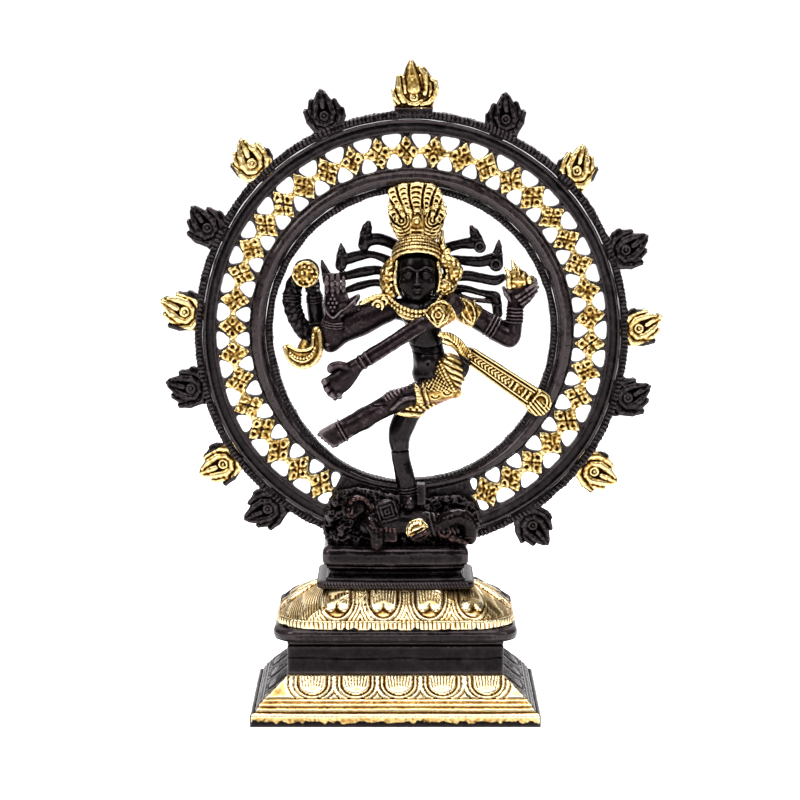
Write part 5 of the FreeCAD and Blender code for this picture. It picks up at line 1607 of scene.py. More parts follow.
def fan_arm(clay, path, hand):
    """One of the arms that fan out behind: a bar with a bright upper edge, a cuff and a hand."""
    path = flowing(path, 6)
    limb(clay, path, 0.3, 0.85)
    edge = [(x, y - 0.5 * r, z + 0.9 * r, 0.36) for x, y, z, r in path]
    limb(clay, edge, 0.1)
    for (*a, thick), (*b, thin) in zip(hand, hand[1:]):
        clay.add(bone(a, b, thick, thin, 0.8), 0.5)
    if hand:
        x, y, z, r = hand[1]
        clay.add(bone((x - r * 0.8, y - 1.3, z), (x + r * 0.8, y - 1.3, z), 0.5, 0.5), 0.2)
        clay.add(bone((hand[-1][0] + 0.2, y - 1.3, hand[-1][2] - 0.4), (x + 0.4, y - 1.5, z + 1.2),
                      0.22, 0.3), 0.15)


def fan_arms_left():
    clay = Clay(0.34)
    limb(clay, [(5, 1.5, 150, 2.9), (4.8, 3.0, 156, 2.8), (4.8, 3.0, 168, 2.6)], 1.2)
    fan_arm(clay, [(4.4, 3.0, 169, 2.0), (-1.0, 2.8, 173.0, 2.1), (-6.6, 2.0, 174.9, 2.2),
                   (-11.0, 1.6, 174.0, 2.2)],
            [(-11.5, 1.4, 172.8, 2.3), (-11.0, 1.4, 176.6, 2.1), (-10.4, 1.4, 179.0, 1.9),
             (-9.9, 1.6, 180.8, 1.1)])
    fan_arm(clay, [(4.0, 3.2, 163, 2.0), (-3.0, 2.6, 167.2, 1.7), (-8.4, 2.0, 169.2, 1.3),
                   (-13.4, 1.6, 168.8, 1.9), (-17.8, 1.6, 167.6, 2.1)],
            [(-20.0, 1.4, 165.2, 2.2), (-19.6, 1.4, 168.9, 2.0), (-19.7, 1.4, 171.0, 1.3),
             (-20.0, 1.6, 173.2, 0.5)])
    fan_arm(clay, [(4.0, 3.2, 159, 2.0), (-5.0, 2.2, 163.2, 1.6), (-12, 1.8, 162.8, 1.9),
                   (-18, 1.6, 161.5, 1.6), (-23.0, 1.6, 160.8, 1.4)],
            [(-25.0, 1.4, 159.6, 1.8), (-25.4, 1.4, 162.0, 1.6), (-26.3, 1.4, 164.4, 1.1),
             (-27.0, 1.6, 167.0, 0.5)])
    fan_arm(clay, [(4.0, 3.2, 155, 2.0), (-5.6, 2, 158.7, 1.35), (-12.6, 1.8, 157.8, 1.5),
                   (-18.4, 1.4, 155.9, 1.1)], [])
    skin = clay.skin().roughen(0.05, 0.1, 541)
    dark_piece("fan_arms_left", skin)


def fan_arms_right():
    clay = Clay(0.34)
    limb(clay, [(11, 1.5, 150, 2.9), (11.2, 3.0, 156, 2.8), (11.2, 3.0, 168, 2.6)], 1.2)
    fan_arm(clay, [(11.6, 3.0, 167, 2.0), (18.6, 2.8, 171.3, 1.9), (24.0, 2.2, 173.0, 1.8),
                   (28.2, 1.8, 173.4, 2.2)],
            [(31.0, 1.4, 172.0, 2.3), (29.8, 1.4, 175.0, 2.0), (28.8, 1.4, 177.4, 1.7),
             (27.8, 1.6, 179.3, 0.9)])
    clay.add(hoop((30.8, -0.6, 172.3), (0, 1, 0), 1.5, 0.4), 0.2)
    fan_arm(clay, [(12, 3.2, 163, 2.0), (19.5, 2.6, 167.2, 1.4), (25.5, 2.2, 166.9, 1.8),
                   (31.0, 1.8, 166.6, 2.0), (35.4, 1.6, 167.6, 2.2)],
            [(36.9, 1.4, 165.6, 2.7), (37.4, 1.4, 169.4, 1.9), (37.8, 1.4, 172.2, 1.2),
             (37.9, 1.6, 174.4, 0.5)])
    clay.add(hoop((36.7, -0.8, 165.9), (0, 1, 0), 1.6, 0.4), 0.2)
    fan_arm(clay, [(12, 3.2, 159, 2.0), (24.6, 2.2, 161.4, 1.95), (31.0, 1.9, 160.6, 1.85),
                   (36.6, 1.6, 159.7, 1.9), (39.6, 1.4, 160.9, 1.3)], [])
    fan_arm(clay, [(12, 3.2, 156, 2.0), (24.4, 2.2, 156.6, 1.4), (31.0, 1.9, 155.2, 1.2),
                   (36.6, 1.6, 154.2, 1.6)],
            [(37.6, 1.4, 147.4, 1.8), (37.3, 1.4, 150.6, 1.9), (36.9, 1.4, 153.6, 1.9)])
    limb(clay, flowing([(22, 2.4, 154.4, 1.2), (27.0, 2.0, 152.9, 0.9), (31.0, 1.8, 152.3, 0.9),
                        (36.0, 1.4, 152.0, 1.0)], 3), 0.4)
    skin = clay.skin().roughen(0.05, 0.1, 542)
    dark_piece("fan_arms_right", skin)


# ---------------------------------------------------------------- figure: what the hands hold

def drum():
    """An hourglass drum seen end on, with a gilt skin laced at its rim."""
    middle = np.array([-32.7, -4.2, 163.0])
    clay = Clay(0.28)
    clay.add(bone(middle + (0, -3.2, 0), middle, 4.3, 2.9), 0.4)
    clay.add(bone(middle, middle + (0, 3.4, 0), 2.9, 4.3), 0.4)
    clay.cut(slab(middle + (0, -6.4, 0), (6, 2.0, 6)), 0.2)
    clay.cut(slab(middle + (0, 6.4, 0), (6, 2.0, 6)), 0.2)
    for way in (-1, 1):
        clay.add(hoop(middle + (0, way * 3.9, 0), (0, 1, 0), 4.3, 0.62), 0.2)
    clay.add(egg(middle + (0, -4.0, 0), (3.9, 0.7, 3.9)), 0.3)
    for count, radius, size in ((11, 3.0, 0.5), (5, 1.3, 0.6)):
        for spot in around(middle + (0, -4.3, 0), (0, 1, 0), radius, count)[:-1]:
            clay.add(egg(spot + rng.uniform(-0.3, 0.3, 3), (size, 0.5, size)), 0.25)
    skin = clay.skin().roughen(0.22, 0.12, 551)
    brass_piece("drum", skin.gild(lambda p, n: smooth_step(0.0, 0.3, -n[:, 1]) * (p[:, 1] < -7.0)))


def serpent_body():
    body = [(-36.6, -2.8, 160.0, 2.6), (-37.5, -3.0, 156.4, 2.9), (-37.9, -3.2, 152.4, 3.0),
            (-37.0, -3.6, 148.4, 2.95), (-35.2, -4.2, 144.4, 2.9), (-32.8, -4.8, 140.8, 2.6),
            (-30.0, -5.2, 138.2, 2.0)]
    clay = Clay(0.3)
    strand(clay, body, 0.5)
    skin = clay.skin()

    def height(points, normals):
        x, y, z = points.T
        turn = np.arctan2(x + 31.0, z - 152.0)
        around_body = np.arctan2(y + 3.6, np.hypot(x + 25.5, z - 152.0) - 12.0)
        scales = np.abs(np.sin(turn * 9 + around_body * 2)) * np.abs(np.sin(turn * 9 - around_body * 2))
        bands = rings(points, (-37.4, -3, 157.0), (-37.9, -3.2, 150.4), 4.5, (2.0, 3.1, 4.2), 0.4, 0.3)
        return 0.32 * scales + bands + cast(points, fine=0.06, broad=0.12, seed=561)
    dark_piece("serpent_body", skin.relief(height))


def serpent_head():
    clay = Clay(0.27)
    strand(clay, [(-28.8, -12.0, 143.0, 1.5), (-28.3, -12.6, 139.6, 1.6), (-28.2, -12.8, 136.2, 2.0),
                  (-30.4, -12.4, 133.0, 2.8), (-33.9, -12.0, 132.4, 3.0), (-37.2, -11.2, 133.8, 2.5),
                  (-39.2, -10.6, 136.4, 1.4)], 0.5, 0.8)
    strand(clay, [(-33.0, -5.8, 137.4, 2.0), (-33.8, -9.0, 134.0, 2.2), (-34.2, -11, 132.6, 2.2)], 0.8)
    outer = [(-40.2, -11.6, 136.6), (-38.6, -12.6, 132.8), (-35.6, -13.4, 130.2), (-32.4, -13.8, 130.0),
             (-29.2, -14.0, 132.0), (-27.4, -13.8, 135.6), (-27.4, -13.4, 139.2), (-27.7, -12.9, 142.6)]
    strand(clay, [(*spot, 0.95) for spot in outer], 0.15)
    inner = [(-38.8, -12.2, 137.4), (-35.6, -13.2, 136.0), (-32.4, -13.8, 136.0), (-30.2, -13.9, 137.4),
             (-29.8, -13.4, 141.6)]
    strand(clay, [(*spot, 0.6) for spot in inner], 0.15)
    row = [(-38.6, -12.9, 135.2), (-36.0, -14.2, 133.4), (-33.0, -14.8, 133.0), (-30.6, -14.6, 134.4),
           (-29.2, -14.2, 136.8)]
    beads(clay, flowing(row, 5), 0.5, 1.15)
    strand(clay, [(x, y - 0.1, z - 1.1, 0.32) for x, y, z in row], 0.12)
    skin = clay.skin().roughen(0.08, 0.1, 562)
    brass_piece("serpent_head", skin.gild(front_share))


def fire_bowl():
    clay = Clay(0.27)
    clay.add(bone((44.4, -4, 157.6), (44.6, -4, 160.2), 2.8, 4.4), 0.3)
    for tip, bend, thick in (((39.9, -5.2, 165.3), -0.6, 0.9), ((42.4, -5.6, 168.0), -0.5, 1.0),
                             ((44.8, -5.8, 165.6), 0.2, 1.0), ((47.4, -5.6, 163.6), 0.7, 1.0),
                             ((50.4, -5.2, 161.9), 0.9, 0.9)):
        base = ((tip[0] + 45.0) / 2 + 0.2 * (tip[0] - 45.0), -6.4, 158.8 + 0.16 * (tip[0] - 42))
        middle = ((tip[0] + base[0]) / 2 - bend, -6.9, (tip[2] + base[2]) / 2 + 0.3)
        strand(clay, [(*base, 1.2), (*middle, thick), (*tip, 0.35)], 0.15)
        strand(clay, [(base[0] + 0.9, -4.6, base[2] + 0.6, 1.2), (middle[0] + 0.9, -4.0, middle[2], 0.9),
                      (tip[0] + 0.6, -3.8, tip[2] - 1.2, 0.4)], 0.3)
    skin = clay.skin().roughen(0.08, 0.12, 571)
    brass_piece("fire_bowl", skin.gild(front_share))


# ---------------------------------------------------------------- figure: legs and cloth

def standing_leg():
    clay = Clay(0.33)
    strand(clay, [(18, -5.5, 122, 4.2), (10.8, -7.2, 118.0, 4.2), (5.6, -8.6, 113.4, 4.2),
                  (3.2, -9.3, 109, 4.1), (1.6, -9.6, 104.6, 3.75), (1.5, -9.4, 99.4, 3.2),
                  (2.2, -9.1, 94.6, 3.0), (3.5, -8.8, 88.6, 3.3), (4.4, -8.5, 82.4, 2.9)], 1.0)
    clay.add(egg((1.5, -12.2, 101.0), (2.0, 1.2, 2.2)), 1.2)
    clay.add(egg((2.4, -6.8, 94.5), (2.6, 1.9, 5.0)), 1.0)
    strand(clay, [(4.5, -8.6, 80.4, 2.6), (4.7, -11.0, 79.4, 2.2), (4.9, -13.4, 78.7, 1.8)], 0.8)
    clay.add(slab((9.4, -7.6, 81.8), (1.7, 2.6, 4.0), None, 0.6), 0.8)
    for step in range(4):
        clay.add(egg((3.7 + 0.85 * step, -15.0 + 0.2 * step, 78.3), (0.42, 0.7, 0.42)), 0.2)
    skin = clay.skin()

    def height(points, normals):
        knee = rings(points, (1.6, -9.6, 104.6), (2.2, -9.1, 94.6), 5.0, (6.2,), -0.35, 0.28)
        ankle = rings(points, (3.5, -8.8, 88.6), (4.4, -8.5, 80), 4.6, (4.4, 5.6, 6.8), 0.35, 0.32)
        return knee + ankle + cast(points, fine=0.03, broad=0.16, seed=601)
    dark_piece("standing_leg", skin.relief(height))


def raised_leg():
    clay = Clay(0.32)
    limb(clay, [(19, -8, 123, 4.5), (8.5, -12.2, 120.2, 3.7), (-0.6, -13.4, 117.0, 3.9),
                (-11.5, -13.6, 110.8, 3.7), (-19.2, -13.3, 106.5, 3.75)], 1.6, 0.9)
    foot = [(-18.6, 109.9), (-21.0, 109.8), (-28.3, 105.7), (-26.0, 102.9), (-22.7, 100.2), (-17.9, 102.6),
            (-15.2, 105.0)]
    clay.add(plate(foot, -10.2, -16.2, 0.9), 0.7)
    clay.add(egg((-0.6, -15.6, 118.4), (4.0, 1.8, 2.8)), 1.0)
    strand(clay, [(7.6, -15.4, 118.9, 0.7), (3.4, -16.4, 118.4, 0.8), (0.8, -16.8, 117.0, 0.8),
                  (-1.4, -16.6, 114.6, 0.6)], 0.6)
    for step in range(5):
        x, z = -28.0 + 1.25 * step, 105.0 - 1.1 * step
        clay.add(bone((x + 1.8, -15.0 + 0.2 * step, z + 0.6), (x + 0.1, -14.8 + 0.2 * step, z), 0.75, 0.72),
                 0.3)
    skin = clay.skin()

    def height(points, normals):
        x, _, z = points.T
        across = (x * 0.87 + z * 0.5) + 0.5 * (z - 120) * 0.5
        up = -0.5 * x + 0.87 * z
        on_top = smooth_step(103.6, 104.6, up) * smooth_step(-4.5, -3.0, x) * smooth_step(9, 7.5, x)
        ribs = 0.42 * (np.abs(np.sin(across * 2.0)) - 0.4) * on_top
        shin = (-11.5, -13.6, 110.8), (-22, -13.2, 105.0)
        ankle = rings(points, *shin, 5.4, (9.0,), 0.4, 0.28)
        ankle = ankle + rings(points, *shin, 5.4, (8.3, 9.7), -0.25, 0.25)
        dots = rings(points, *shin, 5.4, (9.0,), 0.2, 0.3) * np.sin(up * 5)
        crease = -0.3 * pulse(z - 115.9 - 0.04 * (x + 7) ** 2, 0.3) * pulse(x + 7.0, 2.2)
        return ribs + ankle + dots + crease + cast(points, fine=0.05, broad=0.16, seed=611)
    dark_piece("raised_leg", skin.relief(height), BROWN)


def dhoti():
    """The pleated cloth: bunched at the hip, tight over the raised thigh, hemmed at both knees."""
    clay = Clay(0.3)
    clay.add(egg((19.7, -7.2, 126.9), (6.1, 6.2, 7.1)))
    clay.add(bone((18.6, -8.4, 122.0), (8.6, -12.3, 119.6), 5.0, 4.05), 0.8)
    clay.add(egg((15.4, -4.2, 123.0), (7.4, 4.8, 7.0)), 1.2)
    clay.add(bone((20.5, -8.6, 121.6), (22.0, -8.2, 119.6), 3.4, 2.2), 0.8)
    limb(clay, [(17.5, -6.6, 121.0, 4.8), (11.2, -7.6, 118.4, 4.9), (6.0, -8.7, 114.8, 4.8),
                (3.6, -9.2, 111.0, 4.7)], 0.6)
    clay.cut(slab((3.2, -9.0, 107.3), (8.0, 4.2, 9), frame_along((0.985, 0.0, -0.17))), 0.15)
    clay.cut(slab((5.2, -13.4, 119.6), (1.5, 4.2, 5.2), frame_along((1, 0.3, 0.12))), 0.2)
    skin = clay.skin()

    def height(points, normals):
        x, y, z = points.T
        beyond = (x - 15.8) * 0.88 + (z - 131.6) * 0.474
        along = (x - 15.8) * 0.474 - (z - 131.6) * 0.88
        bunch = smooth_step(120.6, 121.6, z + 0.12 * (x - 16))
        drop = z + 0.32 * (x - 20) + 0.045 * (x - 19) ** 2
        pleats = np.abs(np.sin(math.pi * drop / 2.2 + 0.25 * np.sin(x))) - 0.5
        pleats *= smooth_step(0.9, 1.6, beyond)
        weave = np.sin(x * 4.1 + z * 1.2) * np.sin(z * 3.9 - x * 0.9) * smooth_step(-1.2, -1.8, beyond)
        cords = (pulse(beyond, 0.5) + pulse(beyond + 1.3, 0.4)) * (0.7 + 0.3 * np.sin(along * 5.2))
        hem_line = x - 8.3 + 0.27 * (z - 119.4)
        hems = (0.55 * (pulse(hem_line, 0.85) + 0.8 * pulse(hem_line - 2.9, 0.4))
                - 0.35 * pulse(hem_line - 1.7, 0.35))
        studs = 0.2 * np.sin(z * 4.4) * pulse(hem_line, 0.8)
        swirl = 0.0
        for cx, cz in ((14.6, 119.3), (19.0, 120.4)):
            gap = np.hypot((x - cx) * 0.8, z - cz) - 1.1
            swirl = swirl - 0.45 * pulse(gap, 0.28) * (z < cz + 0.1)
        front = smooth_step(-0.1, 0.35, -normals[:, 1])
        thigh = smooth_step(115.4, 116.2, z + 0.1 * (10 - x)) * (y < -8.5)
        knee = (1 - thigh) * (x < 15)
        rim = z - 112.6 + 0.17 * (x - 3.9)
        knee_band = (0.5 * pulse(rim, 0.6) - 0.35 * pulse(rim - 1.1, 0.3)
                     + 0.3 * np.sin(x * 2.6) * np.sin(rim * 2.4) * (rim > 1.2))
        flat = (1 - bunch) * thigh
        detail = (bunch * (0.55 * pleats + 0.34 * weave + 0.45 * cords)
                  + (hems + studs) * thigh * (x < 12.4) + swirl * flat)
        patterned = 0.3 * np.sin(x * 3.0) * np.sin(z * 3.0) * bunch * (x < 15) * (z < 124)
        behind = 0.35 * (np.abs(np.sin(x * 1.6 + 0.4 * z)) - 0.4) * (1 - front)
        return ((detail + patterned) * front + behind + knee_band * knee
                + cast(points, fine=0.05, broad=0.1, seed=621))
    skin.relief(height)
    brass_piece("dhoti", skin.gild(front_share))


def sash():
    """The end of the scarf, which flies out to the ring: a bordered band with a fringed end."""
    root, way = np.array([25.5, 0, 134.4]), unit((0.825, 0, -0.566))
    across = np.array([0.566, 0, 0.825])
    edge = [(-1.0, 1.6), (2.0, 3.2), (15, 3.6), (30, 4.1), (31.6, 4.6), (34.6, 4.5), (36.8, 2.6), (37.6, 0.0),
            (36.9, -2.9), (34.4, -5.0), (31.4, -4.9), (29.6, -4.0), (15, -3.5), (2.0, -3.2), (-0.6, -1.8)]
    outline = [tuple(root + way * u + across * v)[::2] for u, v in edge]
    clay = Clay(0.29)
    clay.add(plate(outline, -6.4, -8.6, 0.5))
    twist = [(16.2, -11.6, 141.4, 1.05), (19.4, -11.4, 141.0, 1.15), (22.6, -10.6, 138.8, 1.25),
             (24.6, -9.4, 136.2, 1.4), (26.8, -8.4, 133.6, 1.7)]
    strand(clay, twist, 0.4)
    thread = flowing(twist, 7)
    for (x, y, z, r), (x2, _, z2, _) in zip(thread[::2], thread[1::2]):
        lean = unit((z2 - z, 0, x - x2))
        a = np.array([x, y - 0.8 * r, z]) + lean * r * 0.9 + unit((x2 - x, 0, z2 - z)) * 1.2
        b = np.array([x, y - 0.8 * r, z]) - lean * r * 0.9
        clay.add(bone(a, b, 0.4, 0.4), 0.15)
    strand(clay, [(17.8, -10.6, 139.0, 1.3), (21.6, -10.0, 137.4, 1.2), (25.0, -9.0, 133.0, 1.5),
                  (25.4, -9.6, 129.4, 1.5), (24.6, -10.0, 126.4, 1.2)], 0.5)
    skin = clay.skin()

    def height(points, normals):
        u, v = (points - root) @ way, (points - root) @ across
        half = 3.2 + 0.75 * smooth_step(0, 30, u)
        edge = half - np.abs(v)
        on_band = smooth_step(0.5, 1.5, u) * smooth_step(29.6, 29.0, u)
        border = (0.4 * pulse(edge - 0.45, 0.32) + 0.35 * pulse(edge - 1.75, 0.25)
                  - 0.45 * pulse(edge - 1.1, 0.26))
        field = smooth_step(2.0, 2.5, edge)
        slant = np.abs(np.sin((u + 0.9 * np.abs(np.mod(v, 2.2) - 1.1)) * 2.1)) - 0.45
        bars = (sum(pulse(u - spot, 0.38) for spot in (20.4, 22.4, 26.2, 28.2))
                - sum(pulse(u - spot, 0.25) for spot in (21.4, 27.2)))
        end = smooth_step(29.4, 30.0, u)
        cap_ring = (0.5 * pulse(np.hypot(u - 33.0, v * 0.8) - 2.6, 0.35) * (v > -1.0)
                    + 0.5 * pulse(u - 30.6, 0.45))
        fringe = 0.5 * (np.abs(np.sin((v + 0.25 * (u - 30)) * 2.4)) - 0.5) * (v < 0.8)
        plain = (0.4 * slant * field * (1 - smooth_step(19, 20, u) * smooth_step(30, 29, u) * 0.6)
                 + 0.5 * bars * field)
        front = smooth_step(0.3, 0.7, -normals[:, 1])
        return ((on_band * (border + plain) + end * (cap_ring + fringe)) * front
                + cast(points, fine=0.07, broad=0.1, seed=631))
    skin.relief(height)

    def share(points, normals):
        v = (points - root) @ across
        x, y, z = points.T
        dark_strand = (x > 17) & (x < 27.4) & (v < -1.3) & (z < 139.6) & (y < -8.8)
        return smooth_step(0.2, 0.6, -normals[:, 1]) * (1 - dark_strand)
    brass_piece("sash", skin.gild(share))


# ---------------------------------------------------------------- figure: dwarf and rock

def dwarf_body():
    clay = Clay(0.32)
    strand(clay, [(-9, -8.8, 70, 4.8), (3, -9.2, 71.6, 5.2), (15, -9, 70, 4.9), (21, -9, 69, 4.3)], 1.4)
    clay.add(egg((-3.0, -12.4, 76.4), (4.4, 2.0, 4.2)), 1.0)
    skin = clay.skin()

    def height(points, normals):
        x, _, z = points.T
        square = np.maximum(np.abs(x + 2.9 + 0.3 * (z - 76)), np.abs(z - 76.4 - 0.3 * (x + 3)))
        lines = 0.4 * (np.abs(np.sin(square * 2.3)) - 0.4) * smooth_step(4.6, 3.8, square)
        belts = 0.35 * (np.abs(np.sin(x * 1.7 + 0.5 * z)) - 0.4) * smooth_step(11, 13, x)
        return ((lines + belts) * smooth_step(0.1, 0.5, -normals[:, 1])
                + cast(points, fine=0.08, broad=0.2, seed=701))
    dark_piece("dwarf_body", skin.relief(height))


def dwarf_head():
    clay = Clay(0.26)
    clay.add(egg((-14.2, -10.8, 77.6), (4.0, 4.0, 4.4)))
    clay.add(egg((-15.6, -13.2, 75.6), (2.6, 2.2, 2.4)), 0.8)
    clay.add(bone((-15.8, -15.0, 77.0), (-16.0, -15.6, 76.0), 0.35, 0.55), 0.3)
    for x in (-17.0, -14.4):
        clay.add(egg((x, -14.4, 77.2), (0.7, 0.6, 0.45)), 0.15)
    clay.add(bone((-16.7, -14.9, 74.6), (-14.9, -14.9, 74.6), 0.3, 0.3), 0.2)
    for step in range(6):
        turn = math.radians(20 + 27 * step)
        root = (-13.6 - 0.5 * step, -12.6, 80.6 - 0.2 * step)
        middle = (-13.2 + 3.4 * math.cos(turn), -14.4, 78.4 + 3.0 * math.sin(turn))
        tip = (-12.8 + 4.2 * math.cos(turn - 0.5), -12.6, 76.6 + 3.4 * math.sin(turn - 0.5))
        strand(clay, [(*root, 0.55), (*middle, 0.7), (*tip, 0.5)], 0.2)
    skin = clay.skin().roughen(0.12, 0.1, 711)
    dark_piece("dwarf_head", skin, RED)


def dwarf_arm():
    clay = Clay(0.28)
    strand(clay, [(-10.5, -11, 72, 2.3), (-8.4, -14.2, 70.6, 2.2), (-6.8, -15.2, 67.6, 2.3),
                  (-6.8, -15.2, 63.9, 2.2)], 0.8)
    for step in range(4):
        clay.add(hoop((-6.8, -15.2, 64.8 + 1.25 * step), (0, 0, 1), 2.2, 0.36), 0.15)
    clay.add(egg((-6.9, -15.6, 69.8), (2.5, 1.9, 1.5)), 0.4)
    for step in range(3):
        clay.add(egg((-3.4 + 1.5 * step, -14.0, 69.6 - 0.2 * step), (0.75, 0.9, 1.1)), 0.2)
    clay.add(slab((-1.9, -12.6, 67.6), (2.5, 1.8, 2.7), None, 0.6), 0.5)
    dark_piece("dwarf_arm", clay.skin().roughen(0.08, 0.12, 721), RED)


def dwarf_legs():
    clay = Clay(0.32)
    strand(clay, [(15.4, -11, 70, 3.3), (20.0, -12.8, 73.2, 3.0), (24.4, -13.2, 74.0, 2.9),
                  (27.0, -12.0, 70.4, 2.5), (27.4, -11.2, 65.6, 2.3)], 1.0)
    clay.add(hoop((18.0, -14.4, 69.2), (0.1, 1, 0), 2.0, 0.7), 0.4)
    clay.add(bone((20.8, -13.8, 66.4), (25.4, -13.0, 64.6), 1.6, 1.3), 0.5)
    for step in range(3):
        clay.add(hoop((27.1, -11.6, 66.2 + 1.2 * step), (0, 0.1, 1), 2.35, 0.34), 0.15)
    dark_piece("dwarf_legs", clay.skin().roughen(0.08, 0.16, 731), RED)


def dwarf_ornament():
    """A gilt boss whose lower right side is left brown."""
    middle = np.array([8.0, -13.2, 69.5])
    clay = Clay(0.26)
    clay.add(egg(middle, (4.5, 3.4, 4.5)))
    clay.add(hoop(middle + (0, -1.4, 0), (0, 1, 0), 3.7, 0.65), 0.3)
    for step in range(8):
        turn = math.radians(70 + 22 * step)
        spot = middle + (3.0 * math.cos(turn), -2.6, 3.0 * math.sin(turn))
        clay.add(egg(spot, (0.75, 0.9, 0.75)), 0.2)
    clay.cut(bone(middle + (-3.2, -3.2, -1.6), middle + (4.2, -2.8, 2.0), 0.5, 0.5), 0.2)
    clay.add(bone(middle + (-1.4, -3.0, -2.8), middle + (3.0, -3.2, -0.6), 0.7, 0.8), 0.3)
    skin = clay.skin().roughen(0.08, 0.1, 741)

    def share(points, normals):
        above = (points[:, 2] - middle[2]) - 0.5 * (points[:, 0] - middle[0])
        return front_share(points, normals) * smooth_step(-1.0, -0.4, above)
    skin.gild(share)
    brass_piece("dwarf_ornament", skin, RED_BRASS)


def rockwork_mound():
    """The craggy rock that the dwarf lies in, across the foot of the ring."""
    clay = Clay(0.36)
    outline = [(-25.2, 62.2), (-27.0, 69), (-25.4, 76), (-21.5, 82.0), (-14.0, 83.4), (-7.0, 82.4), (2, 80.4),
               (9, 79.4), (17, 80.0), (24, 80.6), (29.0, 77), (31.0, 70), (28.5, 63), (25.5, 62.2)]
    clay.add(plate(outline, 5.4, -6.6, 1.2))
    lumps = np.random.default_rng(77)
    for _ in range(64):
        x = lumps.uniform(-24, 28)
        z = lumps.uniform(63, 80 - 0.04 * abs(x))
        y = -6.2 + lumps.uniform(-1.6, 1.0)
        size = lumps.uniform(0.9, 2.6)
        turn = frame_along(lumps.uniform(-1, 1, 3))
        clay.add(slab((x, y, z), (size, size * 0.7, size * 0.5), turn, 0.25), 0.25)
    for x, z, size in ((-20.5, 79.5, 3.4), (-22.4, 74.0, 3.2), (-18.6, 69.0, 3.4), (-20.0, 65.5, 2.8),
                       (13.5, 77.0, 3.0), (24.5, 68.0, 3.4), (29.0, 72.5, 2.2)):
        clay.add(slab((x, -7.2, z), (size, 2.0, size * 0.8), frame_along((1, 0.3, 0.5)), 0.4), 0.5)
    for x, z, size in ((-13.5, 69.5, 2.6), (12.4, 74.0, 2.2), (1.5, 64.4, 1.6), (13.8, 65.6, 2.0),
                       (-21, 76.6, 1.6), (-22.5, 70.6, 1.5), (21.0, 76.5, 1.8), (-6.0, 80.2, 1.4)):
        clay.cut(egg((x, -9.0, z), (size, 2.9, size * 0.9)), 0.4)
    skin = clay.skin()

    def height(points, normals):
        ridges = 1 - np.abs(grain(points, 2.6, 751)) * 2
        chips = 1 - np.abs(grain(points, 1.2, 752)) * 2
        front = smooth_step(-0.6, 0.2, -normals[:, 1])
        return (0.6 * ridges + 0.34 * chips) * (0.35 + 0.65 * front) - 0.3
    dark_piece("rockwork_mound", skin.relief(height))


# ---------------------------------------------------------------- studio

def studio():
    """A white floor that curves up behind the object."""
    half, depth, bend, height = 2.5, 1.2, 0.6, 3.0
    rows = [(-3.0, 0.0)]
    for step in range(13):
        turn = step / 12 * math.pi / 2
        rows.append((depth + bend * math.sin(turn), bend - bend * math.cos(turn)))
    rows.append((depth + bend, height))
    mesh = bpy.data.meshes.new("studio_sweep")
    points = [(x, y, z - 0.0002) for y, z in rows for x in (-half, half)]
    faces = [(2 * k, 2 * k + 1, 2 * k + 3, 2 * k + 2) for k in range(len(rows) - 1)]
    mesh.from_pydata(points, [], faces)
    mesh.materials.append(studio_floor())
    mesh.polygons.foreach_set("use_smooth", [True] * len(faces))
    sweep = bpy.data.objects.new("studio_sweep", mesh)
    bpy.context.scene.collection.objects.link(sweep)
    sweep.visible_diffuse = False


def soft_light(name, place, aim, size, power):
    """A rectangular lamp, placed in metres, that points at its aim."""
    lamp = bpy.data.lights.new(name, "AREA")
    lamp.shape = "RECTANGLE"
    lamp.size, lamp.size_y = size
    lamp.energy = power
    thing = bpy.data.objects.new(name, lamp)
    bpy.context.scene.collection.objects.link(thing)
    thing.location = place
    thing.rotation_euler = (Vector(aim) - Vector(place)).to_track_quat("-Z", "Y").to_euler()


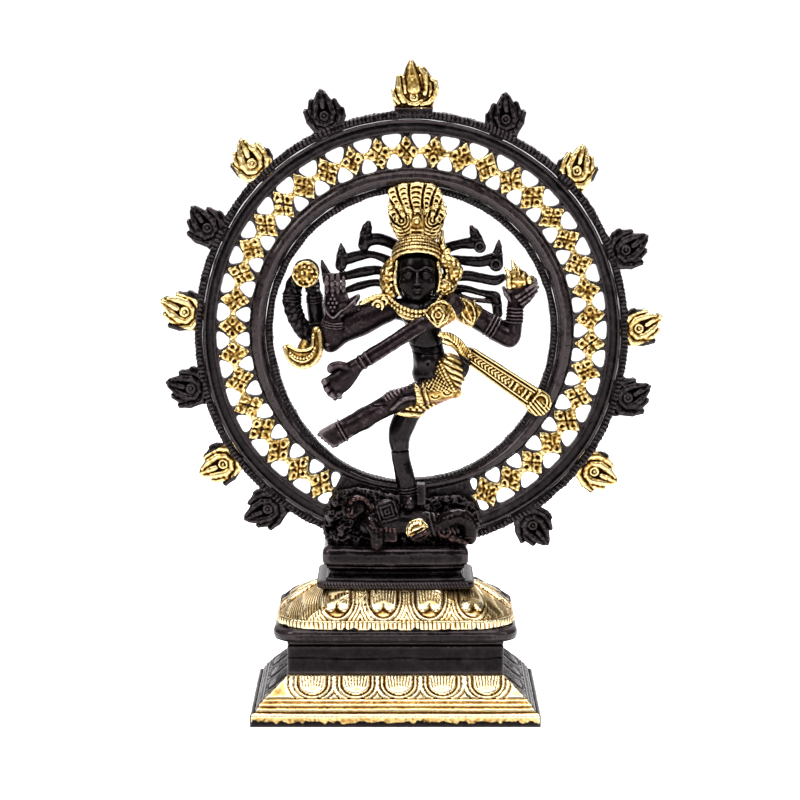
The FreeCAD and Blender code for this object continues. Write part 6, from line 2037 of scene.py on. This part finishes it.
def lights():
    middle = (0.0, 0.0, 0.11)
    soft_light("key_left", (-0.75, -0.75, 0.85), middle, (0.5, 0.5), 5.5)
    soft_light("key_right", (0.85, -0.55, 0.6), middle, (0.3, 0.7), 2.0)
    soft_light("top_back", (0.1, 0.45, 0.95), middle, (0.9, 0.3), 11.0)
    soft_light("overhead", (0.0, -0.15, 1.05), middle, (0.8, 0.8), 5.5)
    soft_light("front_top", (0.05, -0.75, 1.0), middle, (0.6, 0.2), 2.2)
    soft_light("low_front", (0.1, -1.1, 0.12), middle, (0.5, 0.15), 1.0)
    world = bpy.data.worlds.new("studio")
    world.use_nodes = True
    world.node_tree.nodes["Background"].inputs["Color"].default_value = (1, 1, 1, 1)
    world.node_tree.nodes["Background"].inputs["Strength"].default_value = 0.1
    bpy.context.scene.world = world
    bpy.context.scene.view_settings.view_transform = "Standard"


def camera():
    elevation, distance = math.radians(9.0), 0.9
    target = Vector((0.00166, 0, 0.1155))
    lens = bpy.data.cameras.new("camera")
    lens.sensor_width = 36
    lens.lens = 109.6
    lens.clip_start = 0.01
    thing = bpy.data.objects.new("camera", lens)
    bpy.context.scene.collection.objects.link(thing)
    view = Vector((0, math.cos(elevation), -math.sin(elevation)))
    thing.location = target - view * distance
    thing.rotation_euler = view.to_track_quat("-Z", "Y").to_euler()
    bpy.context.scene.camera = thing


camera()
lights()
studio()
fixings()
for make_tier in (lotus_plinth, plinth_die, cornice_slab, lotus_cushion, rope_collar, pedestal_neck,
                  pedestal_cap):
    make_tier()
ring_bands()
lattice_links()
lattice_rosettes()
for flame_number, (flame_angle, flame_lean) in enumerate(FLAMES, start=1):
    flame(flame_number, flame_angle, flame_lean)
for make_part in (torso, head, necklace, diadem, crown_fan, left_hair_lock, right_hair_lock,
                  front_right_arm, rear_right_arm, front_left_arm, front_left_armlet, rear_left_arm,
                  rear_left_armlet, fan_arms_left, fan_arms_right, drum, serpent_body, serpent_head,
                  fire_bowl, standing_leg, raised_leg, dhoti, sash, dwarf_body, dwarf_head, dwarf_arm,
                  dwarf_legs, dwarf_ornament, rockwork_mound):
    make_part()
